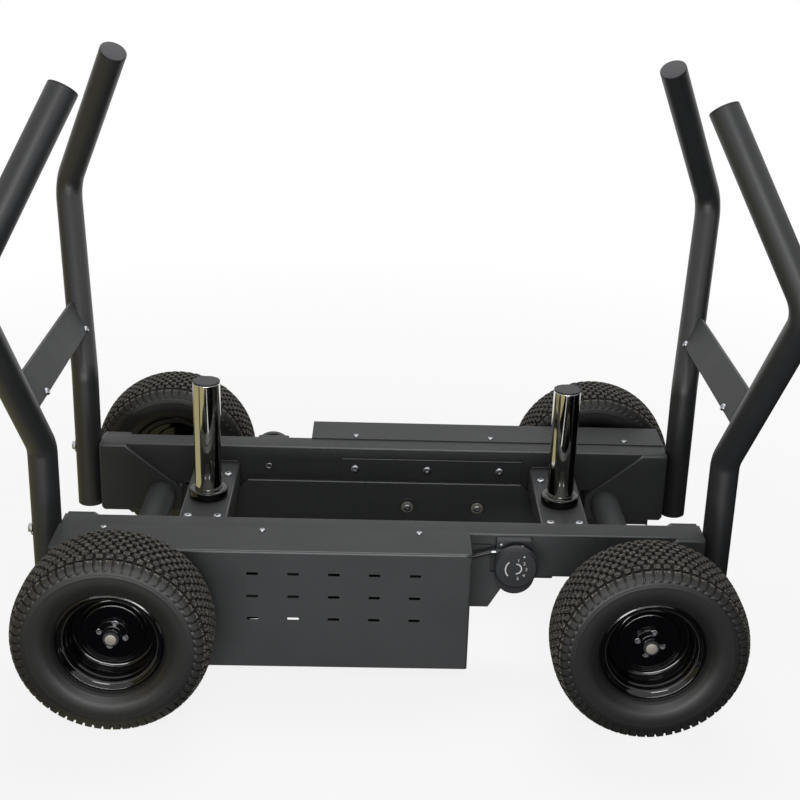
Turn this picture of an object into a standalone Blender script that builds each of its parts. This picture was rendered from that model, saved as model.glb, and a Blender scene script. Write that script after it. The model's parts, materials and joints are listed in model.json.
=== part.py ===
"""Weight sled on four turf tyres, with two magnetic brakes and a push handle at each corner.

Metres, +Z up. X runs along the sled, front at +X, and Y across it, left at +Y.
The origin is on the floor under the middle of the sled.
The left side is the right side turned half round about Z, so each side is built once
in the right side's own frame, where the braked wheel is at -X and the outside is at -Y.
"""
import math

import bmesh
import bpy
from mathutils import Matrix, Vector

# Wheels: 13 x 5.00-6 turf tyres on 6 inch rims.
TYRE_R = 0.165
TYRE_W = 0.130
TYRE_WIDEST_R = 0.118
TYRE_SHOULDER_R = 0.1520
TYRE_SHOULDER_FALL = 0.010
TYRE_SHOULDER_IN = 0.0015
TREAD_W = 0.126
TREAD_MIDDLE_W = 0.0434
KNOB_DEPTH = 0.006
KNOBS_ROUND = 24
RIM_SEAT_R = 0.0762
RIM_FLANGE_R = 0.0885
RIM_W = 0.094
RIM_WALL = 0.0026
RIM_FLANGE_RUN = 0.004
DISC_OUT = 0.010
DISC_STEP_R = 0.050
DISC_STEP_RUN = 0.005
HUB_FLANGE_R = 0.0232
HUB_FLANGE_T = 0.0065
HUB_NOSE_R = 0.0130
HUB_NOSE_L = 0.0155
HUB_BOLTS = 4
HUB_BOLT_CIRCLE_R = 0.0180
HUB_BOLT_TURN = 0.17
HUB_BOLT_HEAD_R = 0.0038
HUB_BOLT_HEAD_T = 0.0028
SLEEVE_R = 0.0158
SLEEVE_PAST_TYRE = 0.004

# Axles. A wheel's middle plane is WHEEL_OUT from the rail's outer face.
WHEEL_BASE = 0.8854
WHEEL_OUT = 0.1708
AXLE_R = 0.0095
AXLE_PAST_WHEEL = 0.0342
AXLE_COLLAR_R = 0.0130
AXLE_COLLAR_W = 0.006
AXLE_COLLAR_GAP = 0.001
AXLE_TUBE_R = 0.0285
AXLE_TUBE_WALL = 0.004
SPACER_R = 0.0225
SPACER_GAP = 0.002

# Frame.
RAIL_L = 1.119
RAIL_GAP = 0.3214
RAIL_W = 0.050
RAIL_H = 0.082
RAIL_TOP = 0.2687
RAIL_CORNER_R = 0.003
CHEEK_T = 0.012
END_PLATE_T = 0.004
END_PLATE_LAP = 0.004
CHEEK_SHORT = 0.0035
BRACKET_DROP = 0.0567
BRACKET_TOP_DROP = 0.0015
BRACKET_TOP_L = 0.0467
BRACKET_PAST_AXLE = 0.0388
BRACKET_SLOPE_PAST_AXLE = 0.030
BRACKET_HEEL_H = 0.010
BRACKET_TOE = 0.004
BRACKET_END_CORNER = 0.004
BEAM_X = 0.331
BEAM_W = 0.088
BEAM_H = 0.048
BEAM_TOP = 0.235
BEAM_CORNER_R = 0.004
BEAM_TAB_H = 0.003
BEAM_TAB_T = 0.004
BEAM_TAB_SHORT = 0.005
PANEL_T = 0.012
PANEL_L = 0.573
PANEL_TOP = 0.202
PANEL_BOTTOM = 0.105
PANEL_CORNER = 0.013
STRIP_L = 0.359
STRIP_RIGHT = 0.273
STRIP_TOP = 0.248
STRIP_T = 0.004

# Horns that hold the weight plates.
HORN_R = 0.025
HORN_TOP = 0.4648
COLLAR_R = 0.0357
COLLAR_H = 0.017
COLLAR_CHAMFER = 0.003
CAP_T = 0.0035
CAP_CHAMFER = 0.0015

# Handles and the plate between each end's two tubes. Bends are given as the way
# out along X and Y from the tube's foot, and the height above the floor.
HANDLE_R = 0.0254
HANDLE_TURN_R = 0.055
HANDLE_LOW_BEND_Z = 0.407
HANDLE_HIGH_BEND = (0.0541, 0.1885, 0.7370)
HANDLE_TOP = (-0.0756, 0.0301, 1.0200)
CROSS_PLATE_LOW = (-0.0046, 0.4850)
CROSS_PLATE_HIGH = (0.0269, 0.5360)
CROSS_PLATE_T = 0.005
CROSS_PLATE_LIP = 0.010
CROSS_PLATE_PAST_FOOT = 0.0463

# Drive cover, one on each side.
COVER_FRONT_X = 0.148
COVER_LAP = 0.0062
COVER_OUT = 0.0868
COVER_BOTTOM = 0.0490
COVER_T = 0.002
COVER_LIP = 0.009
COVER_HUB_GAP = 0.006
SLOT_COLUMNS = 5
SLOT_ROWS = 3
SLOT_L = 0.020
SLOT_H = 0.005
SLOT_PITCH_X = 0.0691
SLOT_PITCH_Z = 0.0429
SLOT_FIRST_X = -0.2235
SLOT_TOP_Z = 0.2286

# Magnetic brake behind each cover. Each "out" is measured from the rail's outer face.
DRIVE_PLATE_T = 0.005
DRIVE_PLATE_BACK_X = -0.275
DRIVE_PLATE_FRONT_X = 0.222
DRIVE_PLATE_NOSE = 0.036
DRIVE_PLATE_NOSE_RISE = 0.0035
DRIVE_PLATE_NECK_RISE = 0.012
DRIVE_PLATE_TOP = 0.250
DRIVE_PLATE_BOTTOM = 0.128
DRIVE_PLATE_CORNER = 0.026
PULLEY_R = 0.055
PULLEY_FLANGE = 0.003
PULLEY_W = 0.020
BELT_W = 0.016
BELT_T = 0.003
BELT_OUT = 0.0413
BELT_SIDE_GAP = 0.001
BELT_STEP = 15
FLYWHEEL_X = -0.020
FLYWHEEL_Z = 0.158
FLYWHEEL_R = 0.095
FLYWHEEL_T = 0.008
FLYWHEEL_OUT = 0.0613
SMALL_PULLEY_R = 0.020
STUB_R = 0.006
STUB_PAST = 0.004
STUB_BOSS_R = 0.012
ARM_PIVOT = (0.118, 0.200)
ARM_PIN_R = 0.004
ARM_PIN_PAST = 0.002
ARM_PIN_BOSS_R = 0.009
BOSS_GAP = 0.001
ARM_L = 0.088
ARM_W = 0.036
ARM_T = 0.024
ARM_GAP = 0.013
ARM_SLOT_FROM = 0.032
ARM_ANGLE = 165

# Resistance dial and its cable.
DIAL_X = 0.228
DIAL_Z = 0.225
DIAL_R = 0.0385
DIAL_T = 0.016
DIAL_EDGE = 0.001
DIAL_CHAMFER = 0.0038
HOUSING_R = 0.034
HOUSING_Z = 0.2025
HOUSING_T = 0.0298
DIAL_BRACKET_X = 0.2253
DIAL_BRACKET_W = 0.0616
DIAL_BRACKET_T = 0.017
DIAL_BRACKET_TOP = 0.2655
CABLE_R = 0.0035
CABLE_BOSS_R = 0.0065
CABLE_BOSS_L = 0.020
CABLE_OUT = 0.0213
CABLE_HIGH = (0.1935, 0.2450)
CABLE_LOW = (0.1400, 0.2330)
CABLE_BEND = 0.014
CABLE_STOP_T = 0.006
CABLE_STOP_REACH = 0.008

# Fits.
GAP = 0.0003
RUNNING = 0.0004

AXLE_Z = TYRE_R
AXLE_X = WHEEL_BASE / 2
RAIL_INNER_Y = RAIL_GAP / 2
RAIL_OUTER_Y = RAIL_INNER_Y + RAIL_W
RAIL_MID_Y = RAIL_INNER_Y + RAIL_W / 2
RAIL_BOTTOM = RAIL_TOP - RAIL_H
RAIL_END_X = RAIL_L / 2
BRACKET_BOTTOM = RAIL_BOTTOM - BRACKET_DROP
BRACKET_END_X = RAIL_END_X + END_PLATE_T + GAP
WHEEL_Y = RAIL_OUTER_Y + WHEEL_OUT
COVER_INNER_Y = RAIL_OUTER_Y - COVER_LAP
COVER_OUTER_Y = RAIL_OUTER_Y + COVER_OUT
BELT_Y = RAIL_OUTER_Y + BELT_OUT
FLYWHEEL_Y = RAIL_OUTER_Y + FLYWHEEL_OUT
CABLE_Y = RAIL_OUTER_Y + CABLE_OUT
FOOT_X = BRACKET_END_X + GAP + HANDLE_R
SIDES = (("right", 0.0), ("left", math.pi))
BRAKED = {"right": ("rear", "front"), "left": ("front", "rear")}


def paint(name, colour, roughness, metallic=0.0):
    """One material: a Principled BSDF with its colour, roughness and metallic value."""
    made = bpy.data.materials.new(name)
    made.use_nodes = True
    shader = made.node_tree.nodes["Principled BSDF"]
    shader.inputs["Base Color"].default_value = (*colour, 1)
    shader.inputs["Roughness"].default_value = roughness
    shader.inputs["Metallic"].default_value = metallic
    return made


def clear_scene():
    for obj in list(bpy.data.objects):
        bpy.data.objects.remove(obj)


clear_scene()
POWDER_COAT = paint("black_powder_coat", (0.050, 0.052, 0.055), 0.48)
TUBE_COAT = paint("black_tube_coat", (0.030, 0.032, 0.038), 0.36)
CHROME = paint("chrome", (0.80, 0.80, 0.78), 0.06, 1.0)
ZINC = paint("zinc_plated_steel", (0.62, 0.63, 0.65), 0.30, 1.0)
GLOSS = paint("gloss_black_enamel", (0.010, 0.010, 0.011), 0.10)
RUBBER = paint("tyre_rubber", (0.045, 0.042, 0.040), 0.80)
PLASTIC = paint("black_plastic", (0.020, 0.020, 0.021), 0.50)
ALLOY = paint("turned_aluminium", (0.72, 0.73, 0.75), 0.25, 1.0)
BELT_RUBBER = paint("belt_rubber", (0.018, 0.018, 0.018), 0.70)


def empty(name, turn=0.0):
    """An empty that carries one side of the sled, turned about Z."""
    made = bpy.data.objects.new(name, None)
    made.rotation_euler.z = turn
    bpy.context.scene.collection.objects.link(made)
    return made


def mesh_of(bm, name):
    bmesh.ops.recalc_face_normals(bm, faces=bm.faces)
    mesh = bpy.data.meshes.new(name)
    bm.to_mesh(mesh)
    bm.free()
    return mesh


def piece(name, mesh, material, parent=None, location=(0, 0, 0), rotation=(0, 0, 0)):
    """Put a mesh in the scene as one named piece, smooth except at its sharp edges."""
    mesh.materials.clear()
    mesh.materials.append(material)
    mesh.shade_smooth()
    mesh.set_sharp_from_angle(angle=math.radians(32))
    made = bpy.data.objects.new(name, mesh)
    made.location = location
    made.rotation_euler = rotation
    made.parent = parent
    bpy.context.scene.collection.objects.link(made)
    return made


def tool(name, mesh, parent=None, location=(0, 0, 0), rotation=(0, 0, 0)):
    """A hidden shape that a Boolean adds to a piece or cuts from it."""
    made = piece(name, mesh, PLASTIC, parent, location, rotation)
    made.hide_render = True
    made.display_type = "WIRE"
    return made


def boolean(obj, other, operation):
    made = obj.modifiers.new(operation.lower() + "_" + other.name, "BOOLEAN")
    made.operation = operation
    made.object = other
    made.solver = "EXACT"


def prism(outline, low, high, axis="Y"):
    """An outline pushed out from low to high.

    Its points are (x, z) along Y, (x, y) along Z and (y, z) along X.
    """
    def place(a, b, c):
        return {"X": (c, a, b), "Y": (a, c, b), "Z": (a, b, c)}[axis]

    bm = bmesh.new()
    rings = [[bm.verts.new(place(a, b, c)) for a, b in outline] for c in (low, high)]
    bm.faces.new(rings[0])
    bm.faces.new(rings[1])
    for i in range(len(outline)):
        j = (i + 1) % len(outline)
        bm.faces.new((rings[0][i], rings[0][j], rings[1][j], rings[1][i]))
    return mesh_of(bm, "prism")


def rectangle(left, right, bottom, top):
    return [(left, bottom), (right, bottom), (right, top), (left, top)]


def rounded(left, right, bottom, top, radius, steps=3):
    """A rectangle whose corners are arcs."""
    points = []
    for corner, (x, y) in enumerate(
        ((right - radius, top - radius), (left + radius, top - radius),
         (left + radius, bottom + radius), (right - radius, bottom + radius))
    ):
        for step in range(steps + 1):
            angle = math.pi / 2 * (corner + step / steps)
            points.append((x + radius * math.cos(angle), y + radius * math.sin(angle)))
    return points


def turned(profile, segments):
    """A profile of (radius, height) points turned about local Z.

    A profile that starts on the axis ends there too, and any other is closed on itself.
    """
    bm = bmesh.new()
    rings = []
    for radius, height in profile:
        count = segments if radius else 1
        angles = [math.tau * i / count for i in range(count)]
        ring = [bm.verts.new((radius * math.cos(a), radius * math.sin(a), height)) for a in angles]
        rings.append(ring)
    pairs = list(zip(rings, rings[1:]))
    if profile[0][0]:
        pairs.append((rings[-1], rings[0]))
    for first, second in pairs:
        for i in range(segments):
            j = (i + 1) % segments
            here, there = len(first), len(second)
            around = (first[i % here], first[j % here], second[j % there], second[i % there])
            bm.faces.new(list(dict.fromkeys(around)))
    return mesh_of(bm, "turned")


def rounded_route(corners, radius, steps=4):
    """The corners of a bent tube as a route, with an arc of the given radius at each inner one."""
    route = [corners[0]]
    for before, corner, after in zip(corners, corners[1:], corners[2:]):
        back = (before - corner).normalized()
        on = (after - corner).normalized()
        half = back.angle(on) / 2
        reach = radius / math.tan(half)
        centre = corner + (back + on).normalized() * radius / math.sin(half)
        start = corner + back * reach - centre
        end = corner + on * reach - centre
        turn = start.angle(end)
        normal = start.cross(end).normalized()
        for step in range(steps + 1):
            route.append(centre + Matrix.Rotation(turn * step / steps, 3, normal) @ start)
    route.append(corners[-1])
    return route


def tube_mesh(route, radius, sides):
    """A round bar along a route, its rings turned with the route so that it doesn't twist."""
    bm = bmesh.new()
    rings = []
    frame = None
    for i, point in enumerate(route):
        before = route[max(i - 1, 0)]
        after = route[min(i + 1, len(route) - 1)]
        along = (after - before).normalized()
        if frame is None:
            frame = along.orthogonal().normalized()
        frame = (frame - along * frame.dot(along)).normalized()
        side = along.cross(frame)
        bend = 1.0
        if 0 < i < len(route) - 1:
            bend = 1 / math.cos((point - before).angle(after - point) / 2)
        rings.append([
            bm.verts.new(point + (frame * math.cos(a) + side * math.sin(a)) * radius * bend)
            for a in (math.tau * k / sides for k in range(sides))
        ])
    for first, second in zip(rings, rings[1:]):
        for k in range(sides):
            n = (k + 1) % sides
            bm.faces.new((first[k], first[n], second[n], second[k]))
    bm.faces.new(rings[0])
    bm.faces.new(rings[-1])
    return mesh_of(bm, "tube")


# Both side rails: rectangular tube, closed at the ends.
def side_rail(side, parent):
    section = rounded(-RAIL_OUTER_Y, -RAIL_INNER_Y, RAIL_BOTTOM, RAIL_TOP, RAIL_CORNER_R, 2)
    mesh = prism(section, -RAIL_END_X, RAIL_END_X, "X")
    return piece(side + "_rail", mesh, POWDER_COAT, parent)


# The boxed bracket that wraps each rail end and carries the axle, its two cheeks a little
# short of the end plate. Beside a free wheel it has a spacer tube.
def end_bracket(name, parent, sign, braked):
    inner = AXLE_X - BRACKET_PAST_AXLE

    def outline(end):
        return [
            (sign * end, RAIL_TOP - BRACKET_TOP_DROP),
            (sign * (RAIL_END_X - BRACKET_TOP_L), RAIL_TOP - BRACKET_TOP_DROP),
            (sign * (AXLE_X - BRACKET_SLOPE_PAST_AXLE), RAIL_BOTTOM),
            (sign * inner, RAIL_BOTTOM - BRACKET_HEEL_H),
            (sign * inner, BRACKET_BOTTOM + BRACKET_TOE),
            (sign * (inner + BRACKET_TOE), BRACKET_BOTTOM),
            (sign * (end - BRACKET_END_CORNER), BRACKET_BOTTOM),
            (sign * end, BRACKET_BOTTOM + BRACKET_END_CORNER),
        ]

    cheeks = prism(outline(BRACKET_END_X - CHEEK_SHORT), -RAIL_OUTER_Y - CHEEK_T, -RAIL_INNER_Y + CHEEK_T)
    made = piece(name, cheeks, POWDER_COAT, parent)
    end_plate = prism(outline(BRACKET_END_X), -RAIL_OUTER_Y - END_PLATE_LAP, -RAIL_INNER_Y + END_PLATE_LAP)
    boolean(made, tool(name + "_end_plate", end_plate, parent), "UNION")
    seat = rectangle(-RAIL_OUTER_Y - GAP, -RAIL_INNER_Y + GAP, RAIL_BOTTOM - GAP, RAIL_TOP + CHEEK_T)
    ends = sorted((sign * (RAIL_END_X + GAP), sign * (inner - CHEEK_T)))
    boolean(made, tool(name + "_seat", prism(seat, *ends, "X"), parent), "DIFFERENCE")
    centre = Vector((sign * AXLE_X, 0, AXLE_Z))
    if not braked:
        spacer_end = WHEEL_Y - TYRE_W / 2 - SLEEVE_PAST_TYRE - SPACER_GAP
        ends = [centre - Vector((0, y, 0)) for y in (RAIL_OUTER_Y + CHEEK_T / 2, spacer_end)]
        boolean(made, tool(name + "_spacer", tube_mesh(ends, SPACER_R, 20), parent), "UNION")
    ends = [centre, centre - Vector((0, WHEEL_Y, 0))]
    boolean(made, tool(name + "_bore", tube_mesh(ends, AXLE_R + RUNNING, 16), parent), "DIFFERENCE")
    return made


# The cross tube round each axle, between the inner cheeks of its two brackets.
def axle_tube(name, parent):
    end = RAIL_INNER_Y - CHEEK_T - GAP
    inner = AXLE_TUBE_R - AXLE_TUBE_WALL
    profile = [(inner, -end), (AXLE_TUBE_R, -end), (AXLE_TUBE_R, end), (inner, end)]
    return piece(name, turned(profile, 24), POWDER_COAT, parent, (-AXLE_X, 0, AXLE_Z), (math.pi / 2, 0, 0))


# The axle bar, with a retaining collar just outside each hub.
def axle(name, parent):
    end = WHEEL_Y + AXLE_PAST_WHEEL
    near = WHEEL_Y + DISC_OUT + HUB_NOSE_L + AXLE_COLLAR_GAP
    far = near + AXLE_COLLAR_W
    profile = [(0, -end), (AXLE_R, -end), (AXLE_R, -far), (AXLE_COLLAR_R, -far),
               (AXLE_COLLAR_R, -near), (AXLE_R, -near)]
    profile += [(radius, -height) for radius, height in reversed(profile)]
    return piece(name, turned(profile, 12), ZINC, parent, (-AXLE_X, 0, AXLE_Z), (math.pi / 2, 0, 0))


def tyre_mesh():
    """The tyre's section turned about Z, with four staggered rows of knobs round its tread."""
    seat = RIM_SEAT_R + GAP
    bead = RIM_W / 2 - RIM_WALL - GAP
    half = [
        (seat, bead - RIM_FLANGE_RUN, 0, 0),
        (RIM_FLANGE_R, bead, 0, 0),
        (TYRE_WIDEST_R, TYRE_W / 2, 0, 0),
        (TYRE_SHOULDER_R - TYRE_SHOULDER_FALL, TYRE_W / 2 - TYRE_SHOULDER_IN, 0, 0),
        (TYRE_SHOULDER_R, TREAD_W / 2, KNOB_DEPTH, 1),
        (TYRE_R, TREAD_MIDDLE_W / 2, KNOB_DEPTH, 0),
    ]
    section = half + [(radius, -across, depth, phase) for radius, across, depth, phase in reversed(half)]
    columns = 2 * KNOBS_ROUND
    bm = bmesh.new()
    rings = []
    for radius, across, depth, phase in section:
        ring = []
        for i in range(columns):
            reach = radius - depth * ((i + phase) % 2)
            angle = math.tau * i / columns
            ring.append(bm.verts.new((reach * math.cos(angle), reach * math.sin(angle), across)))
        rings.append(ring)
    for first, second in zip(rings, rings[1:] + rings[:1]):
        for i in range(columns):
            j = (i + 1) % columns
            bm.faces.new((first[i], first[j], second[j], second[i]))
    return mesh_of(bm, "tyre")


def rim_mesh():
    """A deep-dish pressed rim: two flanges, the barrel between them, and a stepped disc."""
    lip = RIM_W / 2
    wall = RIM_WALL
    barrel = RIM_SEAT_R - wall
    seat = lip - wall - RIM_FLANGE_RUN
    step = DISC_STEP_R
    foot = DISC_STEP_R + DISC_STEP_RUN
    profile = [
        (RIM_FLANGE_R, lip), (RIM_FLANGE_R, lip - wall), (RIM_SEAT_R, seat), (RIM_SEAT_R, -seat),
        (RIM_FLANGE_R, -lip + wall), (RIM_FLANGE_R, -lip), (barrel, -seat), (barrel, -wall),
        (foot - wall, -wall), (step - wall, DISC_OUT - wall), (SLEEVE_R + GAP, DISC_OUT - wall),
        (SLEEVE_R + GAP, DISC_OUT), (step, DISC_OUT), (foot, 0), (barrel, 0), (barrel, seat),
    ]
    return turned(profile, 16)


def hub_mesh(sleeve_end):
    """The hub: a flange bolted to the disc, a nose, and a sleeve that runs inboard along the axle."""
    bore = AXLE_R + RUNNING
    face = DISC_OUT + GAP
    nose = DISC_OUT + HUB_NOSE_L
    flange = face + HUB_FLANGE_T
    profile = [
        (bore, nose), (HUB_NOSE_R, nose), (HUB_NOSE_R, flange), (HUB_FLANGE_R, flange),
        (HUB_FLANGE_R, face), (SLEEVE_R, face), (SLEEVE_R, -sleeve_end), (bore, -sleeve_end),
    ]
    return turned(profile, 16)


def hub_bolts_mesh():
    """The hexagon bolt heads on the hub's flange, sunk half their height into it, as one hidden tool."""
    bm = bmesh.new()
    for k in range(HUB_BOLTS):
        angle = math.tau * (k + HUB_BOLT_TURN) / HUB_BOLTS
        x, y = HUB_BOLT_CIRCLE_R * math.cos(angle), HUB_BOLT_CIRCLE_R * math.sin(angle)
        place = Matrix.Translation((x, y, DISC_OUT + GAP + HUB_FLANGE_T))
        bmesh.ops.create_cone(
            bm, cap_ends=True, segments=6, radius1=HUB_BOLT_HEAD_R, radius2=HUB_BOLT_HEAD_R,
            depth=2 * HUB_BOLT_HEAD_T, matrix=place,
        )
    return mesh_of(bm, "hub_bolts")


# A wheel: tyre, rim and hub turn together on the axle. A braked one also turns the large pulley.
def wheel(name, parent, sign, braked):
    place = (sign * AXLE_X, -WHEEL_Y, AXLE_Z)
    turn = (math.pi / 2, 0, 0)
    inner_end = WHEEL_Y - BELT_Y + PULLEY_W / 2 if braked else TYRE_W / 2 + SLEEVE_PAST_TYRE
    piece(name + "_tyre", tyre_mesh(), RUBBER, parent, place, turn)
    piece(name + "_rim", rim_mesh(), GLOSS, parent, place, turn)
    hub = piece(name + "_hub", hub_mesh(inner_end), GLOSS, parent, place, turn)
    boolean(hub, tool(name + "_hub_bolts", hub_bolts_mesh(), parent, place, turn), "UNION")
    if braked:
        piece(name + "_pulley", pulley_mesh(PULLEY_R, SLEEVE_R + GAP, 18), ALLOY, parent,
              (sign * AXLE_X, -BELT_Y, AXLE_Z), turn)


def pulley_profile(radius, bore):
    half = PULLEY_W / 2
    track = BELT_W / 2 + BELT_SIDE_GAP
    return [
        (bore, half), (radius + PULLEY_FLANGE, half), (radius + PULLEY_FLANGE, track), (radius, track),
        (radius, -track), (radius + PULLEY_FLANGE, -track), (radius + PULLEY_FLANGE, -half), (bore, -half),
    ]


def pulley_mesh(radius, bore, segments):
    return turned(pulley_profile(radius, bore), segments)


# The flywheel: a thick alloy disc with its small pulley, turning on a stub of the drive plate.
def flywheel(name, parent):
    bore = STUB_R + RUNNING
    small = pulley_profile(SMALL_PULLEY_R, bore)
    disc_in = FLYWHEEL_Y - BELT_Y - FLYWHEEL_T / 2
    disc_out = disc_in + FLYWHEEL_T
    profile = [(bore, disc_out), (FLYWHEEL_R, disc_out), (FLYWHEEL_R, disc_in),
               (small[1][0], disc_in)] + small[2:]
    place = (FLYWHEEL_X, -BELT_Y, FLYWHEEL_Z)
    return piece(name, turned(profile, 24), ALLOY, parent, place, (math.pi / 2, 0, 0))


def belt_outline(extra):
    """The loop round both pulleys, flats outside the running circle so that it never cuts into them."""
    step = math.radians(BELT_STEP)
    start = Vector((-AXLE_X, AXLE_Z))
    end = Vector((FLYWHEEL_X, FLYWHEEL_Z))
    span = end - start
    lean = math.asin((PULLEY_R - SMALL_PULLEY_R) / span.length)
    heading = math.atan2(span.y, span.x)
    points = []
    for centre, radius, first, last in (
        (start, PULLEY_R, heading + math.pi / 2 - lean, heading + 1.5 * math.pi + lean),
        (end, SMALL_PULLEY_R, heading - math.pi / 2 + lean, heading + math.pi / 2 - lean),
    ):
        count = math.ceil((last - first) / step)
        reach = (radius + extra) / math.cos((last - first) / count / 2)
        for i in range(count + 1):
            angle = first + (last - first) * i / count
            points.append((centre.x + reach * math.cos(angle), centre.y + reach * math.sin(angle)))
    return points


# The belt between the two pulleys.
def drive_belt(name, parent):
    bm = bmesh.new()
    inner = belt_outline(RUNNING)
    outer = belt_outline(RUNNING + BELT_T)
    rings = []
    for outline, y in ((inner, -BELT_Y - BELT_W / 2), (outer, -BELT_Y - BELT_W / 2),
                       (outer, -BELT_Y + BELT_W / 2), (inner, -BELT_Y + BELT_W / 2)):
        rings.append([bm.verts.new((x, y, z)) for x, z in outline])
    for first, second in zip(rings, rings[1:] + rings[:1]):
        for i in range(len(inner)):
            j = (i + 1) % len(inner)
            bm.faces.new((first[i], first[j], second[j], second[i]))
    return piece(name, mesh_of(bm, "belt"), BELT_RUBBER, parent)


# The plate on the rail's outer face, with the flywheel's stub, the magnet arm's pin and the cable stop.
def drive_plate(name, parent):
    inner = -RAIL_OUTER_Y - GAP
    outer = inner - DRIVE_PLATE_T
    outline = [
        (DRIVE_PLATE_BACK_X, DRIVE_PLATE_TOP),
        (DRIVE_PLATE_BACK_X, DRIVE_PLATE_BOTTOM + DRIVE_PLATE_CORNER),
        (DRIVE_PLATE_BACK_X + DRIVE_PLATE_CORNER, DRIVE_PLATE_BOTTOM),
        (DRIVE_PLATE_FRONT_X - DRIVE_PLATE_NOSE, DRIVE_PLATE_BOTTOM),
        (DRIVE_PLATE_FRONT_X, RAIL_BOTTOM + DRIVE_PLATE_NOSE_RISE),
        (DRIVE_PLATE_FRONT_X - DRIVE_PLATE_NOSE, RAIL_BOTTOM + DRIVE_PLATE_NECK_RISE),
        (DRIVE_PLATE_FRONT_X - DRIVE_PLATE_NOSE, DRIVE_PLATE_TOP),
    ]
    made = piece(name, prism(outline, outer, inner), POWDER_COAT, parent)
    stub_tip = -FLYWHEEL_Y - FLYWHEEL_T / 2 - STUB_PAST
    pin_tip = -FLYWHEEL_Y - ARM_T / 2 - ARM_PIN_PAST
    root = inner - DRIVE_PLATE_T / 2
    for label, (x, z), radius, tip, sides in (
        ("stub", (FLYWHEEL_X, FLYWHEEL_Z), STUB_R, stub_tip, 12),
        ("boss", (FLYWHEEL_X, FLYWHEEL_Z), STUB_BOSS_R, -BELT_Y + PULLEY_W / 2 + BOSS_GAP, 12),
        ("pin", ARM_PIVOT, ARM_PIN_R, pin_tip, 10),
        ("pin_boss", ARM_PIVOT, ARM_PIN_BOSS_R, -FLYWHEEL_Y + ARM_T / 2 + BOSS_GAP, 10),
    ):
        bar = tube_mesh([Vector((x, root, z)), Vector((x, tip, z))], radius, sides)
        boolean(made, tool(f"{name}_{label}", bar, parent), "UNION")
    x, z = CABLE_LOW
    stop = rectangle(x - CABLE_STOP_T, x - GAP, z - CABLE_STOP_REACH, z + CABLE_STOP_REACH)
    stop = prism(stop, -CABLE_Y - CABLE_STOP_REACH, root)
    boolean(made, tool(name + "_cable_stop", stop, parent), "UNION")
    return made


# The magnet arm: a slotted block that swings over the flywheel's rim.
def magnet_arm(name, parent):
    radius = ARM_W / 2
    outline = [(ARM_L, -radius), (ARM_L, radius)]
    for step in range(7):
        angle = math.pi / 2 + math.pi * step / 6
        outline.append((radius * math.cos(angle), radius * math.sin(angle)))
    place = (ARM_PIVOT[0], -FLYWHEEL_Y, ARM_PIVOT[1])
    turn = (0, -math.radians(ARM_ANGLE), 0)
    made = piece(name, prism(outline, -ARM_T / 2, ARM_T / 2), ZINC, parent, place, turn)
    slot = prism(rectangle(ARM_SLOT_FROM, ARM_L + ARM_GAP, -ARM_W, ARM_W), -ARM_GAP / 2, ARM_GAP / 2)
    boolean(made, tool(name + "_slot", slot, parent, place, turn), "DIFFERENCE")
    hole = tube_mesh([Vector((0, -ARM_T, 0)), Vector((0, ARM_T, 0))], ARM_PIN_R + RUNNING, 12)
    boolean(made, tool(name + "_hole", hole, parent, place, turn), "DIFFERENCE")
    return made


# The folded sheet cover: a top over the rail, a front with vent slots, and a lip at each end.
def cover(name, parent):
    inner, outer = -COVER_INNER_Y, -COVER_OUTER_Y
    low = RAIL_TOP + GAP
    top = low + COVER_T
    section = [
        (inner, low), (inner, top), (outer, top),
        (outer, COVER_BOTTOM), (outer + COVER_T, COVER_BOTTOM), (outer + COVER_T, low),
    ]
    made = piece(name, prism(section, -BRACKET_END_X, COVER_FRONT_X, "X"), POWDER_COAT, parent)
    for label, x in (("rear_lip", -BRACKET_END_X + COVER_T), ("front_lip", COVER_FRONT_X)):
        lip = prism(rectangle(outer + COVER_T / 2, outer + COVER_LIP, COVER_BOTTOM, low + COVER_T / 2),
                    x - COVER_T, x, "X")
        boolean(made, tool(f"{name}_{label}", lip, parent), "UNION")
    bm = bmesh.new()
    for column in range(SLOT_COLUMNS):
        for row in range(SLOT_ROWS):
            x, z = SLOT_FIRST_X + column * SLOT_PITCH_X, SLOT_TOP_Z - row * SLOT_PITCH_Z
            place = Matrix.Translation((x, outer, z))
            size = Matrix.Diagonal((SLOT_L, 4 * COVER_T, SLOT_H, 1))
            bmesh.ops.create_cube(bm, size=1, matrix=place @ size)
    boolean(made, tool(name + "_slots", mesh_of(bm, "slots"), parent), "DIFFERENCE")
    ends = [Vector((-AXLE_X, outer + y, AXLE_Z)) for y in (-2 * COVER_T, 2 * COVER_T)]
    hole = tube_mesh(ends, SLEEVE_R + COVER_HUB_GAP, 20)
    boolean(made, tool(name + "_hub_hole", hole, parent), "DIFFERENCE")
    return made


# The dial's housing: a bracket on the rail's outer face, the round body hung lower than the dial,
# and the boss the cable leaves by.
def dial_housing(name, parent):
    back = -RAIL_OUTER_Y - GAP
    left, right = DIAL_BRACKET_X - DIAL_BRACKET_W / 2, DIAL_BRACKET_X + DIAL_BRACKET_W / 2
    bracket = rectangle(left, right, DIAL_Z, DIAL_BRACKET_TOP)
    made = piece(name, prism(bracket, back - DIAL_BRACKET_T, back), PLASTIC, parent)
    ends = (back - DRIVE_PLATE_T - GAP, back - HOUSING_T)
    body = tube_mesh([Vector((DIAL_X, y, HOUSING_Z)) for y in ends], HOUSING_R, 24)
    boolean(made, tool(name + "_body", body, parent), "UNION")
    head = Vector((CABLE_HIGH[0], -CABLE_Y, CABLE_HIGH[1]))
    boss = tube_mesh([head + Vector((x, 0, 0)) for x in (GAP, CABLE_BOSS_L)], CABLE_BOSS_R, 10)
    boolean(made, tool(name + "_boss", boss, parent), "UNION")
    return made


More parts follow.
